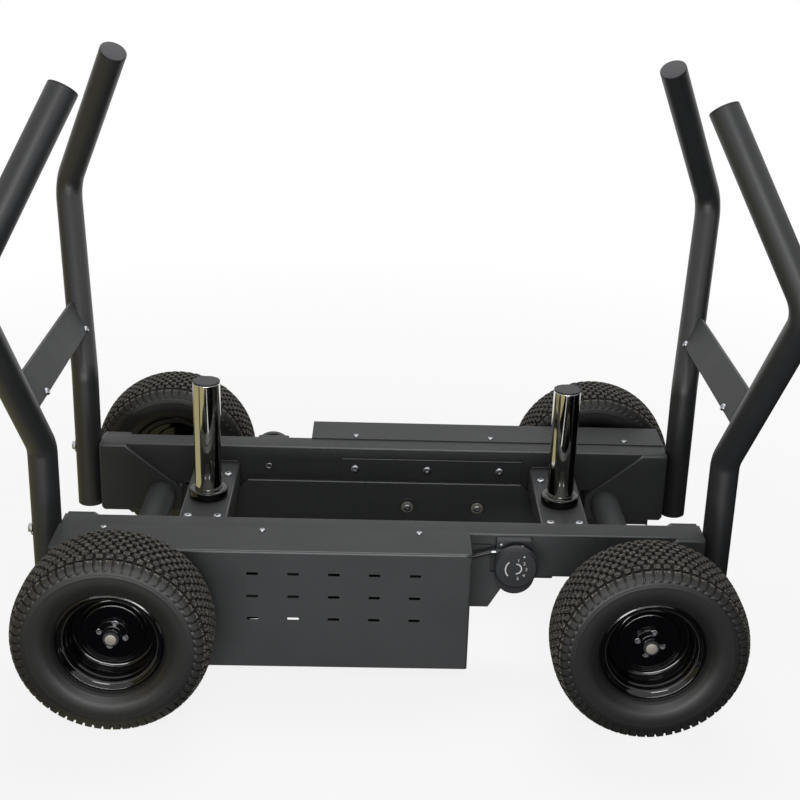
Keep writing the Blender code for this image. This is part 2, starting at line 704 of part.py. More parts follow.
# The dial that the hand turns, a shallow cap with a chamfered rim.
def dial(name, parent):
    back = GAP
    profile = [
        (0, back), (DIAL_R - DIAL_EDGE, back), (DIAL_R, back + DIAL_EDGE),
        (DIAL_R, DIAL_T - DIAL_CHAMFER), (DIAL_R - DIAL_CHAMFER, DIAL_T), (0, DIAL_T),
    ]
    place = (DIAL_X, -RAIL_OUTER_Y - GAP - HOUSING_T, DIAL_Z)
    return piece(name, turned(profile, 24), PLASTIC, parent, place, (math.pi / 2, 0, 0))


# The short control cable from the dial's boss to the stop behind the cover.
def cable(name, parent):
    high = Vector((CABLE_HIGH[0], -CABLE_Y, CABLE_HIGH[1]))
    low = Vector((CABLE_LOW[0], -CABLE_Y, CABLE_LOW[1]))
    bend = Vector((CABLE_BEND, 0, 0))
    points = [high, high - bend, low + bend, low]
    steps = 8
    route = []
    for i in range(steps + 1):
        t = i / steps
        a, b, c, d = (1 - t) ** 3, 3 * t * (1 - t) ** 2, 3 * t * t * (1 - t), t ** 3
        route.append(points[0] * a + points[1] * b + points[2] * c + points[3] * d)
    return piece(name, tube_mesh(route, CABLE_R, 8), PLASTIC, parent)


# The panel on the rail's inner face that backs the drive, with a flat strip standing up from it.
def inner_panel(name, parent):
    wall = -RAIL_INNER_Y + GAP
    half = PANEL_L / 2
    outline = [
        (-half, PANEL_BOTTOM), (half, PANEL_BOTTOM), (half, PANEL_TOP - PANEL_CORNER),
        (half - PANEL_CORNER, PANEL_TOP), (-half + PANEL_CORNER, PANEL_TOP),
        (-half, PANEL_TOP - PANEL_CORNER),
    ]
    made = piece(name, prism(outline, wall, wall + PANEL_T), POWDER_COAT, parent)
    strip = rectangle(-STRIP_RIGHT, STRIP_L - STRIP_RIGHT, PANEL_TOP - PANEL_T, STRIP_TOP)
    boolean(made, tool(name + "_strip", prism(strip, wall, wall + STRIP_T), parent), "UNION")
    return made


# The cross beam under each horn, with a tab turned up against each rail.
def cross_beam(name, parent):
    end = RAIL_INNER_Y - GAP
    left, right = -BEAM_X - BEAM_W / 2, -BEAM_X + BEAM_W / 2
    outline = rounded(left, right, BEAM_TOP - BEAM_H, BEAM_TOP, BEAM_CORNER_R, 2)
    made = piece(name, prism(outline, -end, end), POWDER_COAT, parent)
    bm = bmesh.new()
    for side in (-1, 1):
        place = Matrix.Translation((-BEAM_X, side * (end - BEAM_TAB_T / 2), BEAM_TOP))
        size = Matrix.Diagonal((BEAM_W - 2 * BEAM_TAB_SHORT, BEAM_TAB_T, 2 * BEAM_TAB_H, 1))
        bmesh.ops.create_cube(bm, size=1, matrix=place @ size)
    boolean(made, tool(name + "_tabs", mesh_of(bm, "tabs"), parent), "UNION")
    return made


# The chromed horn that the plates drop over, its collar, and the plug in its top.
def horn(name, parent):
    foot = BEAM_TOP + GAP
    top = HORN_TOP - CAP_T - GAP
    place = (-BEAM_X, 0, 0)
    piece(name, turned([(0, foot), (HORN_R, foot), (HORN_R, top), (0, top)], 20), CHROME, parent, place)
    inner = HORN_R + GAP
    ring = [(inner, foot), (COLLAR_R, foot), (COLLAR_R, foot + COLLAR_H - COLLAR_CHAMFER),
            (COLLAR_R - COLLAR_CHAMFER, foot + COLLAR_H), (inner, foot + COLLAR_H)]
    piece(name + "_collar", turned(ring, 20), POWDER_COAT, parent, place)
    cap = [(0, HORN_TOP - CAP_T), (HORN_R, HORN_TOP - CAP_T), (HORN_R, HORN_TOP - CAP_CHAMFER),
           (HORN_R - CAP_CHAMFER, HORN_TOP), (0, HORN_TOP)]
    piece(name + "_cap", turned(cap, 20), PLASTIC, parent, place)


def handle_route(x_sign, y_sign):
    """The bent tube's centre line: up beside the rail end, out and back, then in to the grip."""
    bends = [(0, 0, BRACKET_BOTTOM), (0, 0, HANDLE_LOW_BEND_Z), HANDLE_HIGH_BEND, HANDLE_TOP]
    corners = [Vector((x_sign * (FOOT_X + x), y_sign * (RAIL_MID_Y + y), z)) for x, y, z in bends]
    return rounded_route(corners, HANDLE_TURN_R)


# One handle of each corner, with a plug in its upper end.
def handle(name, x_sign, y_sign):
    route = handle_route(x_sign, y_sign)
    along = (route[-1] - route[-2]).normalized()
    tip = route[-1]
    route[-1] = tip - along * (CAP_T + GAP)
    piece(name, tube_mesh(route, HANDLE_R, 14), TUBE_COAT)
    piece(name + "_cap", tube_mesh([tip - along * CAP_T, tip], HANDLE_R, 14), PLASTIC)


# The plate welded between the two tubes of one end, coped to fit round them.
def cross_plate(name, x_sign):
    low, high = (Vector((FOOT_X + x, z)) for x, z in (CROSS_PLATE_LOW, CROSS_PLATE_HIGH))
    up = (high - low).normalized()
    out = Vector((up.y, -up.x))
    section = [low, high, high + out * CROSS_PLATE_LIP, high + out * CROSS_PLATE_LIP - up * CROSS_PLATE_T,
               high + out * CROSS_PLATE_T - up * CROSS_PLATE_T, low + out * CROSS_PLATE_T]
    reach = RAIL_MID_Y + CROSS_PLATE_PAST_FOOT
    bm = bmesh.new()
    rings = [[bm.verts.new((x_sign * p.x, y, p.y)) for p in section] for y in (-reach, reach)]
    bm.faces.new(rings[0])
    bm.faces.new(rings[1])
    for i in range(len(section)):
        j = (i + 1) % len(section)
        bm.faces.new((rings[0][i], rings[0][j], rings[1][j], rings[1][i]))
    made = piece(name, mesh_of(bm, "cross_plate"), POWDER_COAT)
    for label, y_sign in (("right", -1), ("left", 1)):
        cope = tube_mesh(handle_route(x_sign, y_sign), HANDLE_R + 2 * GAP, 20)
        boolean(made, tool(f"{name}_{label}_cope", cope), "DIFFERENCE")
    return made


for side, turn in SIDES:
    frame = empty(side + "_side", turn)
    braked_end, free_end = BRAKED[side]
    side_rail(side, frame)
    end_bracket(f"{braked_end}_{side}_bracket", frame, -1, True)
    end_bracket(f"{free_end}_{side}_bracket", frame, 1, False)
    axle_tube(braked_end + "_axle_tube", frame)
    axle(braked_end + "_axle", frame)
    cross_beam(braked_end + "_cross_beam", frame)
    horn(braked_end + "_horn", frame)
    wheel(f"{braked_end}_{side}", frame, -1, True)
    wheel(f"{free_end}_{side}", frame, 1, False)
    drive_plate(side + "_drive_plate", frame)
    flywheel(side + "_flywheel", frame)
    drive_belt(side + "_drive_belt", frame)
    magnet_arm(side + "_magnet_arm", frame)
    cover(side + "_cover", frame)
    dial_housing(side + "_dial_housing", frame)
    dial(side + "_dial", frame)
    cable(side + "_cable", frame)
    inner_panel(side + "_inner_panel", frame)

for end, x_sign in (("rear", -1), ("front", 1)):
    for side, y_sign in (("right", -1), ("left", 1)):
        handle(f"{end}_{side}_handle", x_sign, y_sign)
    cross_plate(end + "_cross_plate", x_sign)
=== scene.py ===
import json
import math

import bpy
import numpy as np
from mathutils import Matrix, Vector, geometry

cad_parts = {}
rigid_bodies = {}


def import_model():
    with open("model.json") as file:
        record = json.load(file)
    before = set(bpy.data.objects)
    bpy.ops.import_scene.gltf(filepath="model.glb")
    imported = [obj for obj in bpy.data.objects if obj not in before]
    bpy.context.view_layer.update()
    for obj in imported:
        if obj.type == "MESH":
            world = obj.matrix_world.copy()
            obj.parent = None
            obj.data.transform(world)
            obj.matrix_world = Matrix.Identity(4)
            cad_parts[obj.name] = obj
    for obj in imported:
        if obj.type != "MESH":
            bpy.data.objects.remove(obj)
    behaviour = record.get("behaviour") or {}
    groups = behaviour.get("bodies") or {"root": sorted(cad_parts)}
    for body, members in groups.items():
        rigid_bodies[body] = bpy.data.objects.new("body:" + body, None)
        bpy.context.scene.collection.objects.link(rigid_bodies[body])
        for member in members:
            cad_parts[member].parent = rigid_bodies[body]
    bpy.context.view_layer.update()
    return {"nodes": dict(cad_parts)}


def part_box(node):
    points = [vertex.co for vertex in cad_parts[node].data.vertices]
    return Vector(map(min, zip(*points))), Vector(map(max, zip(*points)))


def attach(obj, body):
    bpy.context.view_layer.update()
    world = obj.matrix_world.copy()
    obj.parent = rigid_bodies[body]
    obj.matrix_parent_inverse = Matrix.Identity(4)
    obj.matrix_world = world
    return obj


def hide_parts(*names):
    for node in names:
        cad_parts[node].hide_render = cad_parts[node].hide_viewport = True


for startup in list(bpy.data.objects):
    bpy.data.objects.remove(startup)
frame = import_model()

# Side rails: two lengths of rectangular steel tube, saw cut, welded shut at the ends
# and powder coated in a fine satin black. Everything else is bolted or welded to them.
POWDER_DARK = "#3a3b3c"
POWDER_LIGHT = "#424344"
ORANGE_PEEL = 0.0016
RUB_MARKS = 0.120
RUB_STREAKS = 0.015
LEAN = 0.985
RAIL_CORNER = 0.003
SIDES = {"right": 1, "left": -1}


def linear(colour):
    """A hex sRGB colour as linear RGBA: c / 12.92 up to 0.04045, above it ((c + 0.055) / 1.055) ^ 2.4."""
    parts = np.array([int(colour[i:i + 2], 16) / 255 for i in (1, 3, 5)])
    return (*np.where(parts <= 0.04045, parts / 12.92, ((parts + 0.055) / 1.055) ** 2.4).tolist(), 1.0)


def add(tree, kind, inputs=(), **settings):
    """One shader node. Each input named gets a value, or a link from another node's output."""
    made = tree.nodes.new("ShaderNode" + kind)
    for name, value in settings.items():
        setattr(made, name, value)
    for name, value in dict(inputs).items():
        if isinstance(value, bpy.types.NodeSocket):
            tree.links.new(value, made.inputs[name])
        else:
            made.inputs[name].default_value = value
    return made


def new_finish(name):
    """An empty node material and its tree, with the coordinates of the object that wears it."""
    made = bpy.data.materials.new(name)
    made.use_nodes = True
    made.node_tree.nodes.clear()
    return made, made.node_tree, add(made.node_tree, "TexCoord").outputs["Object"]


def noise(tree, place, size, detail, rough=0.5):
    """The grey of a cloudy noise whose grains are about `size` metres across."""
    settings = {"Vector": place, "Scale": 1 / size, "Detail": detail, "Roughness": rough}
    return add(tree, "TexNoise", settings).outputs["Fac"]


def mix(tree, share, first, second):
    """A colour between two others, each of them a hex colour or another node's output."""
    first, second = (linear(c) if isinstance(c, str) else c for c in (first, second))
    return add(tree, "Mix", {0: share, 6: first, 7: second}, data_type="RGBA").outputs[2]


def spread(tree, share, low, high, start=0.0, end=1.0):
    """A number that goes from low to high while share goes from start to end."""
    settings = {"Value": share, "From Min": start, "From Max": end, "To Min": low, "To Max": high}
    return add(tree, "MapRange", settings).outputs["Result"]


def coat(name, colours, rough, cloud=(), relief=(), stretch=(), specular=0.5, metallic=0.0):
    """A finish of one shader.

    cloud is a noise that moves the colour between the two given, and the roughness over its spread. relief
    is a noise that dents the surface, then the strength and depth of it. stretch scales the coordinates.
    """
    made, tree, place = new_finish(name)
    if stretch:
        place = add(tree, "Mapping", {"Vector": place, "Scale": stretch}).outputs["Vector"]
    inputs = {"Base Color": linear(colours[0]), "Roughness": rough[0], "Specular IOR Level": specular,
              "Metallic": metallic}
    share = noise(tree, place, *cloud) if cloud else None
    if len(colours) > 1:
        inputs["Base Color"] = mix(tree, share, *colours)
    if len(rough) > 1:
        inputs["Roughness"] = spread(tree, share, *rough)
    if relief:
        size, detail, strength, depth = relief
        dents = {"Height": noise(tree, place, size, detail), "Strength": strength, "Distance": depth}
        inputs["Normal"] = add(tree, "Bump", dents).outputs["Normal"]
    add(tree, "OutputMaterial", {"Surface": add(tree, "BsdfPrincipled", inputs).outputs["BSDF"]})
    return made


def unit(vectors):
    return vectors / np.linalg.norm(vectors, axis=-1, keepdims=True)


def outward(points, faces):
    """The same faces, turned round if their volume, a third of the sum of middle . area, is negative."""
    volume = 0.0
    for corners in sorted(set(map(len, faces))):
        ring = points[np.array([face for face in faces if len(face) == corners])]
        area = np.cross(ring, np.roll(ring, -1, axis=1)).sum(axis=1) / 2
        volume += (ring.mean(axis=1) * area).sum()
    return points, [face[::-1] for face in faces] if volume < 0 else faces


def shell(points, ring=False):
    """A closed surface over a grid of points whose columns join round.

    Its first and last rows are closed by flat faces, or with ring the last row joins the first.
    """
    rows, columns = points.shape[:2]
    index = np.arange(rows * columns).reshape(rows, columns)
    index = np.hstack([index, index[:, :1]])
    if ring:
        index = np.vstack([index, index[:1]])
    corners = index[:-1, :-1], index[:-1, 1:], index[1:, 1:], index[1:, :-1]
    faces = np.stack(corners, axis=-1).reshape(-1, 4).tolist()
    if not ring:
        faces += [index[0, :-1][::-1].tolist(), index[-1, :-1].tolist()]
    return outward(points.reshape(-1, 3), faces)


def rounded(corners, radii, steps=6, closed=True):
    """A path with an arc at each corner, in two dimensions or three.

    An arc of radius r touches both sides at r / tan(h) from the corner, h being half the angle
    between them, and its centre is r / sin(h) away on the bisector. An open path keeps its ends.
    """
    corners = np.asarray(corners, float)
    radii = np.broadcast_to(radii, len(corners)).astype(float)[:, None]
    back = unit(np.roll(corners, 1, axis=0) - corners)
    on = unit(np.roll(corners, -1, axis=0) - corners)
    half = np.arccos(np.clip((back * on).sum(axis=1, keepdims=True), -1, 1)) / 2
    centre = corners + unit(back + on) * radii / np.sin(half)
    start = corners + back * radii / np.tan(half) - centre
    end = corners + on * radii / np.tan(half) - centre
    turn = np.pi - 2 * half
    square = (end - start * np.cos(turn)) / np.sin(turn)
    angle = turn[:, :, None] * np.linspace(0, 1, steps + 1)[None, :, None]
    arcs = centre[:, None] + start[:, None] * np.cos(angle) + square[:, None] * np.sin(angle)
    if closed:
        return arcs.reshape(-1, corners.shape[1])
    return np.vstack([corners[:1], arcs[1:-1].reshape(-1, corners.shape[1]), corners[-1:]])


def plate(outline, low, high, axis, edge=0.0006):
    """An outline pushed out from low to high along X, Y or Z, with its edges rounded.

    Over a quarter turn t the outline stands in by edge * (1 - sin t) while it rises by edge * (1 - cos t).
    """
    area = (outline[:, 0] * np.roll(outline[:, 1], -1) - outline[:, 1] * np.roll(outline[:, 0], -1)).sum()
    outline = outline if area > 0 else outline[::-1]
    side = unit(np.roll(outline, -1, axis=0) - outline)
    normal = np.stack([side[:, 1], -side[:, 0]], axis=1)
    mean = unit(normal + np.roll(normal, 1, axis=0))
    mean = mean / (mean * normal).sum(axis=1, keepdims=True)
    turn = np.linspace(0, np.pi / 2, 4)
    stand_in = edge * (1 - np.sin(turn))
    rise = edge * (1 - np.cos(turn))
    flat = outline[None] - mean[None] * np.concatenate([stand_in, stand_in[::-1]])[:, None, None]
    level = np.concatenate([low + rise, high - rise[::-1]])[:, None] + np.zeros(len(outline))
    a, b = flat[..., 0], flat[..., 1]
    return shell(np.stack({"X": (level, a, b), "Y": (a, level, b), "Z": (a, b, level)}[axis], axis=-1))


def box_outline(a_low, a_high, b_low, b_high, radius):
    return rounded([(a_low, b_low), (a_high, b_low), (a_high, b_high), (a_low, b_high)], radius)


def put(name, data):
    made = bpy.data.objects.new(name, data)
    bpy.context.scene.collection.objects.link(made)
    return made


def piece(name, parts, finish, replaced="", body="frame", sign=1, edges=None, smooth=38):
    """One named piece of the sled from closed parts. Sign -1 turns them half round about Z.

    The piece is smooth except where faces meet at over `smooth` degrees. The faces that lean, so the folds
    and rounded edges, get the finish `edges`, if there is one.
    """
    faces, start = [], 0
    for points, part_faces in parts:
        faces += [[corner + start for corner in face] for face in part_faces]
        start += len(points)
    mesh = bpy.data.meshes.new(name)
    mesh.from_pydata(np.concatenate([points for points, _ in parts]) * (sign, sign, 1), [], faces)
    mesh.shade_smooth()
    mesh.set_sharp_from_angle(angle=math.radians(smooth))
    mesh.materials.append(finish)
    made = put(name, mesh)
    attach(made, body)
    if replaced:
        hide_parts(replaced)
    if edges:
        normals = np.empty(len(mesh.polygons) * 3)
        mesh.polygons.foreach_get("normal", normals)
        # The leaning faces get the edge coat, whose lighter tone paints a highlight on them.
        lean = np.abs(normals.reshape(-1, 3)).max(axis=1) < LEAN
        mesh.materials.append(edges)
        mesh.polygons.foreach_set("material_index", lean.astype(np.int32))
    return made


# Epoxy-polyester powder, baked: satin, with a faint orange peel and duller hand-rubbed patches.
powder = coat("satin_black_powder_coat", (POWDER_DARK, POWDER_LIGHT), (0.46, 0.58, 0.3, 0.7),
              cloud=(RUB_MARKS, 5.0, 0.6), relief=(ORANGE_PEEL, 1.0, 0.10, 0.0004), specular=0.18)
# The same coat on every fold and rounded edge, smoother where hands and weight plates have rubbed it, so that
# the lamps draw a thin bright line on it, and all in the lighter powder tone: a painted highlight.
painted_highlight_edge_coat = coat("edge_coat_glossy_with_painted_highlight", (POWDER_LIGHT,), (0.22, 0.36), cloud=(RUB_STREAKS, 3.0),
              specular=0.55)

rail_low, rail_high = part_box("right_rail")
section = box_outline(rail_low.y, rail_high.y, rail_low.z, rail_high.z, RAIL_CORNER)
rail = plate(section, rail_low.x, rail_high.x, "X")
for side, sign in SIDES.items():
    piece(side + "_side_rail", [rail], powder, side + "_rail", sign=sign, edges=painted_highlight_edge_coat)

# End brackets: a boxed steel shoe on each rail end, with a thick cheek on both sides of the rail,
# a block under it that the axle goes through, and beside a free wheel a spacer tube. Powder coated.
CHEEK = 0.012
CHEEK_DROP = 0.0015
CHEEK_SHORT = 0.0035
CHEEK_EDGE = 0.0010
TOP_LENGTH = 0.0467
AXLE_SIDE = 0.030
CHEEK_TOE = 0.010
LOW_CORNER = 0.004
BLOCK_IN = 0.001
CAP_CUT = 0.002
END_PLATE_LAP = 0.004
SPACER_R = 0.0225
RAIL_GAP = 0.0003
FREE_END = {"right": "front", "left": "rear"}
END_SIGN = {"rear": -1, "front": 1}
CORNERS = [(side, end, sign, x_sign) for side, sign in SIDES.items() for end, x_sign in END_SIGN.items()]
axle_low, axle_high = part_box("front_axle")
axle_x = (axle_low.x + axle_high.x) / 2
axle_z = (axle_low.z + axle_high.z) / 2


def tube(section_r, route, reference, sides=32):
    """A round bar along a route. Each ring stands square to the mean direction of the two runs that meet in
    it, its side turned by the cross product with a fixed reference, which keeps the bar from twisting."""
    route = np.asarray(route, float)
    runs = unit(np.diff(route, axis=0))
    along = unit(np.vstack([runs[:1], runs]) + np.vstack([runs, runs[-1:]]))
    side = unit(np.cross(along, reference))
    up = np.cross(side, along)
    angle = np.arange(sides) * 2 * np.pi / sides
    return shell(route[:, None] + section_r * (side[:, None] * np.cos(angle)[None, :, None]
                                               + up[:, None] * np.sin(angle)[None, :, None]))


for side, end, sign, x_sign in CORNERS:
    hand = x_sign * sign
    low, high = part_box(f"{end}_{side}_bracket")
    inner, reach = sorted((abs(low.x), abs(high.x)))
    top = rail_high.z - CHEEK_DROP
    cheek_end = reach - CHEEK_SHORT
    outline = np.array([
        (cheek_end, top, 0.002), (rail_high.x - TOP_LENGTH, top, 0.003),
        (axle_x - AXLE_SIDE, rail_low.z, 0.004), (inner, rail_low.z - CHEEK_TOE, 0.003),
        (inner, low.z + LOW_CORNER, 0.002), (inner + LOW_CORNER, low.z, 0.002),
        (cheek_end - LOW_CORNER, low.z, 0.002), (cheek_end, low.z + LOW_CORNER, 0.002),
    ])
    cheek = rounded(outline[:, :2] * (hand, 1), outline[:, 2])
    near, far = rail_low.y - RAIL_GAP, rail_high.y + RAIL_GAP
    under = rounded(np.array([
        (inner + BLOCK_IN, rail_low.z - CHEEK_TOE - BLOCK_IN), (inner + BLOCK_IN, low.z + LOW_CORNER),
        (inner + LOW_CORNER, low.z + BLOCK_IN), (cheek_end - LOW_CORNER, low.z + BLOCK_IN),
        (cheek_end - 0.0008, low.z + LOW_CORNER), (cheek_end - 0.0008, rail_low.z - RAIL_GAP),
        (axle_x - AXLE_SIDE, rail_low.z - RAIL_GAP),
    ]) * (hand, 1), 0.001)
    cap = rounded(np.array([
        (rail_high.x + RAIL_GAP, low.z), (reach - CAP_CUT, low.z), (reach, low.z + CAP_CUT),
        (reach, top), (rail_high.x + RAIL_GAP, top),
    ]) * (hand, 1), [0.0006, 0.0010, 0.0010, 0.0012, 0.0006])
    parts = [plate(cheek, near - CHEEK, near, "Y", CHEEK_EDGE),
             plate(cheek, far, far + CHEEK, "Y", CHEEK_EDGE),
             plate(under, near, far, "Y"),
             plate(cap, rail_low.y - END_PLATE_LAP, rail_high.y + END_PLATE_LAP, "Y", 0.0008)]
    if FREE_END[side] == end:
        spacer_end = -low.y if side == "right" else high.y
        route = [(hand * axle_x, -y, axle_z) for y in (-near + CHEEK / 2, spacer_end)]
        parts.append(tube(SPACER_R, route, (0, 0, 1), 48))
    piece(f"{end}_{side}_end_bracket", parts, powder, f"{end}_{side}_bracket", sign=sign,
          edges=painted_highlight_edge_coat)

# Axle tubes and axles: a heavy round tube between the brackets of each end, powder coated, and
# through it a turned steel bar with chamfered ends, which carries both wheels of that end.
STEEL_FACES = ("#8f8a82", "#a9a49b")
PLUG_BLACK = "#26272a"
TUBE_WALL = 0.004
AXLE_R = 0.0095
AXLE_CHAMFER = 0.0008
COLLAR_R = 0.0130
COLLAR_AT = (0.0265, 0.0325)


def turned(profile, centre, axis, segments=64, ring=False, hexed=0.0):
    """A (radius, height) profile turned about an axis. Where hexed is 1 the radius follows a hexagon: it is
    multiplied by cos(30) / cos(a), a being the angle from the nearest flat's middle."""
    profile = np.asarray(profile, float)
    axis = unit(np.asarray(axis, float))
    helper = np.eye(3)[np.argmin(np.abs(axis))]
    u = unit(np.cross(axis, helper))
    v = np.cross(axis, u)
    angle = np.arange(segments) * 2 * np.pi / segments
    flat = np.cos(np.pi / 6) / np.cos(angle % (np.pi / 3) - np.pi / 6)
    radius = profile[:, :1] * (1 + np.reshape(hexed, (-1, 1)) * (flat - 1))
    points = (np.asarray(centre, float) + (radius * np.cos(angle))[..., None] * u
              + (radius * np.sin(angle))[..., None] * v + profile[:, 1, None, None] * axis)
    return shell(points, ring)


def hoop(inner, outer, low, high, centre, axis, radii, segments=64, steps=3):
    """A turned ring between two radii and two heights, with rounded edges."""
    section = rounded([(inner, low), (outer, low), (outer, high), (inner, high)], radii, steps)
    return turned(section, centre, axis, segments, True)


def solid_profile(corners, radii, steps=4):
    """A turned outline from the axis out and back, its corners rounded, without the points on the axis."""
    radii = np.pad(np.broadcast_to(radii, len(corners) - 2), 1, mode="edge")
    return rounded(corners, radii, steps, False)[1:-1]


def disc(radius, low, high, centre, axis, radii, segments=64, steps=4):
    """A turned solid cylinder with rounded edges."""
    return turned(solid_profile([(0, low), (radius, low), (radius, high), (0, high)], radii, steps),
                  centre, axis, segments)


# Turned bar end: bare steel, faced in the lathe and then dulled by handling and a film of oil.
steel = coat("faced_bar_steel", STEEL_FACES, (0.55,), cloud=(0.006, 4.0), metallic=0.55)
# Moulded polyamide: matt black with a fine spark-eroded grain.
plastic = coat("moulded_black_polyamide", (PLUG_BLACK,), (0.55,), relief=(0.0009, 2.0, 0.15, 0.0002),
               specular=0.4)

for end, x_sign in END_SIGN.items():
    centre = (x_sign * axle_x, 0, axle_z)
    low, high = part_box(end + "_axle_tube")
    outer = (high.z - low.z) / 2
    wall = hoop(outer - TUBE_WALL, outer, low.y, high.y, centre, (0, 1, 0), 0.0008, 72, 6)
    piece(end + "_cross_tube", [wall], powder, end + "_axle_tube")
    low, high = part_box(end + "_axle")
    bar = disc(AXLE_R, low.y, high.y, centre, (0, 1, 0), AXLE_CHAMFER, 48, 2)
    piece(end + "_axle_bar", [bar], steel, end + "_axle")
    low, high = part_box(end + "_right_tyre")
    wheel_y = -(low.y + high.y) / 2
    rings = [hoop(AXLE_R + 0.0001, COLLAR_R, *COLLAR_AT, (centre[0], side * wheel_y, axle_z), (0, side, 0),
                  0.0006, 48) for side in (-1, 1)]
    piece(end + "_axle_collars", rings, plastic)

# Cross beams: a rectangular tube across the rails under each horn, with a tab turned up at both
# ends, and four button-head screws that hold the horn's foot. The screws are zinc plated.
BEAM_CORNER = 0.004
TAB_HEIGHT = 0.003
TAB_WALL = 0.004
TAB_SHORT = 0.005
BEAM_SCREW = 0.0088
BEAM_SCREW_X = 0.0265
BEAM_SCREW_Y = 0.0940
ZINC = ("#8d9096", "#c9cbd0")


def button_screw(centre, axis, thread):
    """A button head with a hexagon socket: a dome 0.53 threads high and 1.75 wide, the socket 0.6 across."""
    head = 0.875 * thread
    height = 0.53 * thread
    rows = [(head, 0.0)]
    rows += [(head * math.cos(0.82 * t), height * (0.12 + 0.88 * math.sin(1.4 * t)))
             for t in np.linspace(0.15, 1.05, 6)]
    rows += [(0.36 * thread, rows[-1][1]), (0.34 * thread, 0.25 * height)]
    return turned(rows, centre, axis, 24, False, [0] * (len(rows) - 2) + [1, 1])


def hexagon_head(centre, axis, thread, washer):
    """A hexagon bolt head, 1.6 threads across its flats and 0.65 high, in a washer ring round its foot."""
    flat = 0.92 * thread
    rows = [(flat, 0.1 * thread), (flat, 0.66 * thread), (0.86 * flat, 0.78 * thread)]
    rim = 1.1 * thread
    return [turned(rows, centre, axis, 24, False, [1, 1, 0.2]),
            hoop(rim, rim * washer, 0, 0.16 * thread, centre, axis, 0.0002, 24, 2)]


# Zinc plate: bright, slightly blue passivated, with a fine uneven bloom.
zinc = coat("blue_passivated_zinc_plate", ZINC, (0.26, 0.46), cloud=(0.003, 3.0), metallic=1.0)

beam_low, beam_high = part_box("front_cross_beam")
beam_x = (beam_low.x + beam_high.x) / 2
beam_top = beam_high.z - TAB_HEIGHT
section = box_outline(beam_low.x, beam_high.x, beam_low.z, beam_top, BEAM_CORNER)
tab = box_outline(beam_low.x + TAB_SHORT, beam_high.x - TAB_SHORT, beam_top - TAB_HEIGHT, beam_high.z, 0.002)
beam = [plate(section, beam_low.y, beam_high.y, "Y"),
        plate(tab, beam_low.y, beam_low.y + TAB_WALL, "Y", 0.0010),
        plate(tab, beam_high.y - TAB_WALL, beam_high.y, "Y", 0.0010)]
for end, x_sign in END_SIGN.items():
    piece(end + "_horn_beam", beam, powder, end + "_cross_beam", sign=x_sign, edges=painted_highlight_edge_coat)
    spots = [(x_sign * beam_x + a * BEAM_SCREW_X, b * BEAM_SCREW_Y) for a in (-1, 1) for b in (-1, 1)]
    screws = [button_screw((*spot, beam_top), (0, 0, 1), BEAM_SCREW) for spot in spots]
    piece(end + "_horn_beam_screws", screws, zinc)

# Horns: thick steel tube for 50 mm plates, ground and chrome plated, pressed into a black collar
# that is bolted down to the beam. A flat black plug closes the top.
CHROME = "#d9d8d2"
ENAMEL = "#08080a"
HORN_EDGE = 0.0012

# Chrome plate over polished steel: mirror bright, with faint long draw marks of the polishing belt.
chrome = coat("polished_chrome_plate", (CHROME,), (0.03, 0.10), cloud=(0.0015, 2.0),
              stretch=(1.0, 1.0, 0.06), metallic=1.0)
# Stoving enamel: deep gloss black, with a little sag and orange peel in it that bends the lights.
enamel = coat("gloss_black_enamel", (ENAMEL,), (0.10,), relief=(0.009, 2.0, 0.12, 0.0006))

for end, x_sign in END_SIGN.items():
    centre, upright = (x_sign * beam_x, 0, 0), (0, 0, 1)
    low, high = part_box(end + "_horn")
    horn_r = (high.x - low.x) / 2
    horn = disc(horn_r, low.z, high.z, centre, upright, HORN_EDGE, 96)
    piece(end + "_plate_horn", [horn], chrome, end + "_horn")
    low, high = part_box(end + "_horn_collar")
    collar = hoop(horn_r + RAIL_GAP, (high.x - low.x) / 2, low.z, high.z, centre, upright,
                  [0.0005, 0.0010, 0.0040, 0.0010], 96, 5)
    piece(end + "_foot_collar", [collar], enamel, end + "_horn_collar")
    low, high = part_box(end + "_horn_cap")
    plug_r = horn_r - 0.0002
    outline = solid_profile([(0, low.z), (plug_r, low.z), (plug_r, high.z - 0.0006), (horn_r - 0.003, high.z),
                             (0, high.z)], [0.0002, 0.0004, 0.0012])
    plug = turned(outline, centre, upright, 72)
    piece(end + "_horn_plug", [plug], plastic, end + "_horn_cap")

# Back panels: a thick folded panel on the inner face of each rail that backs the brake, with a flat
# strip standing up from it, three screws through the strip, an eye bolt and two shaft ends in rings.
# The right one's lower corner is cut up to CUT_UP: from its two x distances to its height.
PANEL_CUT = 0.034
PANEL_WIDER = 0.0195
PANEL_EDGE = 0.0028
PANEL_HEIGHT = 0.097
CUT_UP = (0.188, 0.218, 0.1565)
PANEL_THICK = 0.012
STRIP_THICK = 0.004
STRIP_REACH = (-0.086, 0.273)
STRIP_SCREW = 0.0097
STRIP_SCREWS = (-0.0597, 0.0840, 0.2281)
STRIP_SCREW_Z = 0.2262
EYE = (0.0034, 0.0062, 0, 0.0030)
EYE_X = -0.230
EYE_Z = 0.2275
SHAFT_X = (0.0465, 0.1865)
SHAFT_Z = 0.1490
SHAFT_SCREW = 0.0080
SHAFT_RING = (0.0170, 0.0186, 0, 0.0014)
WASHER_R = 0.0118
WASHER_THICK = 0.0030

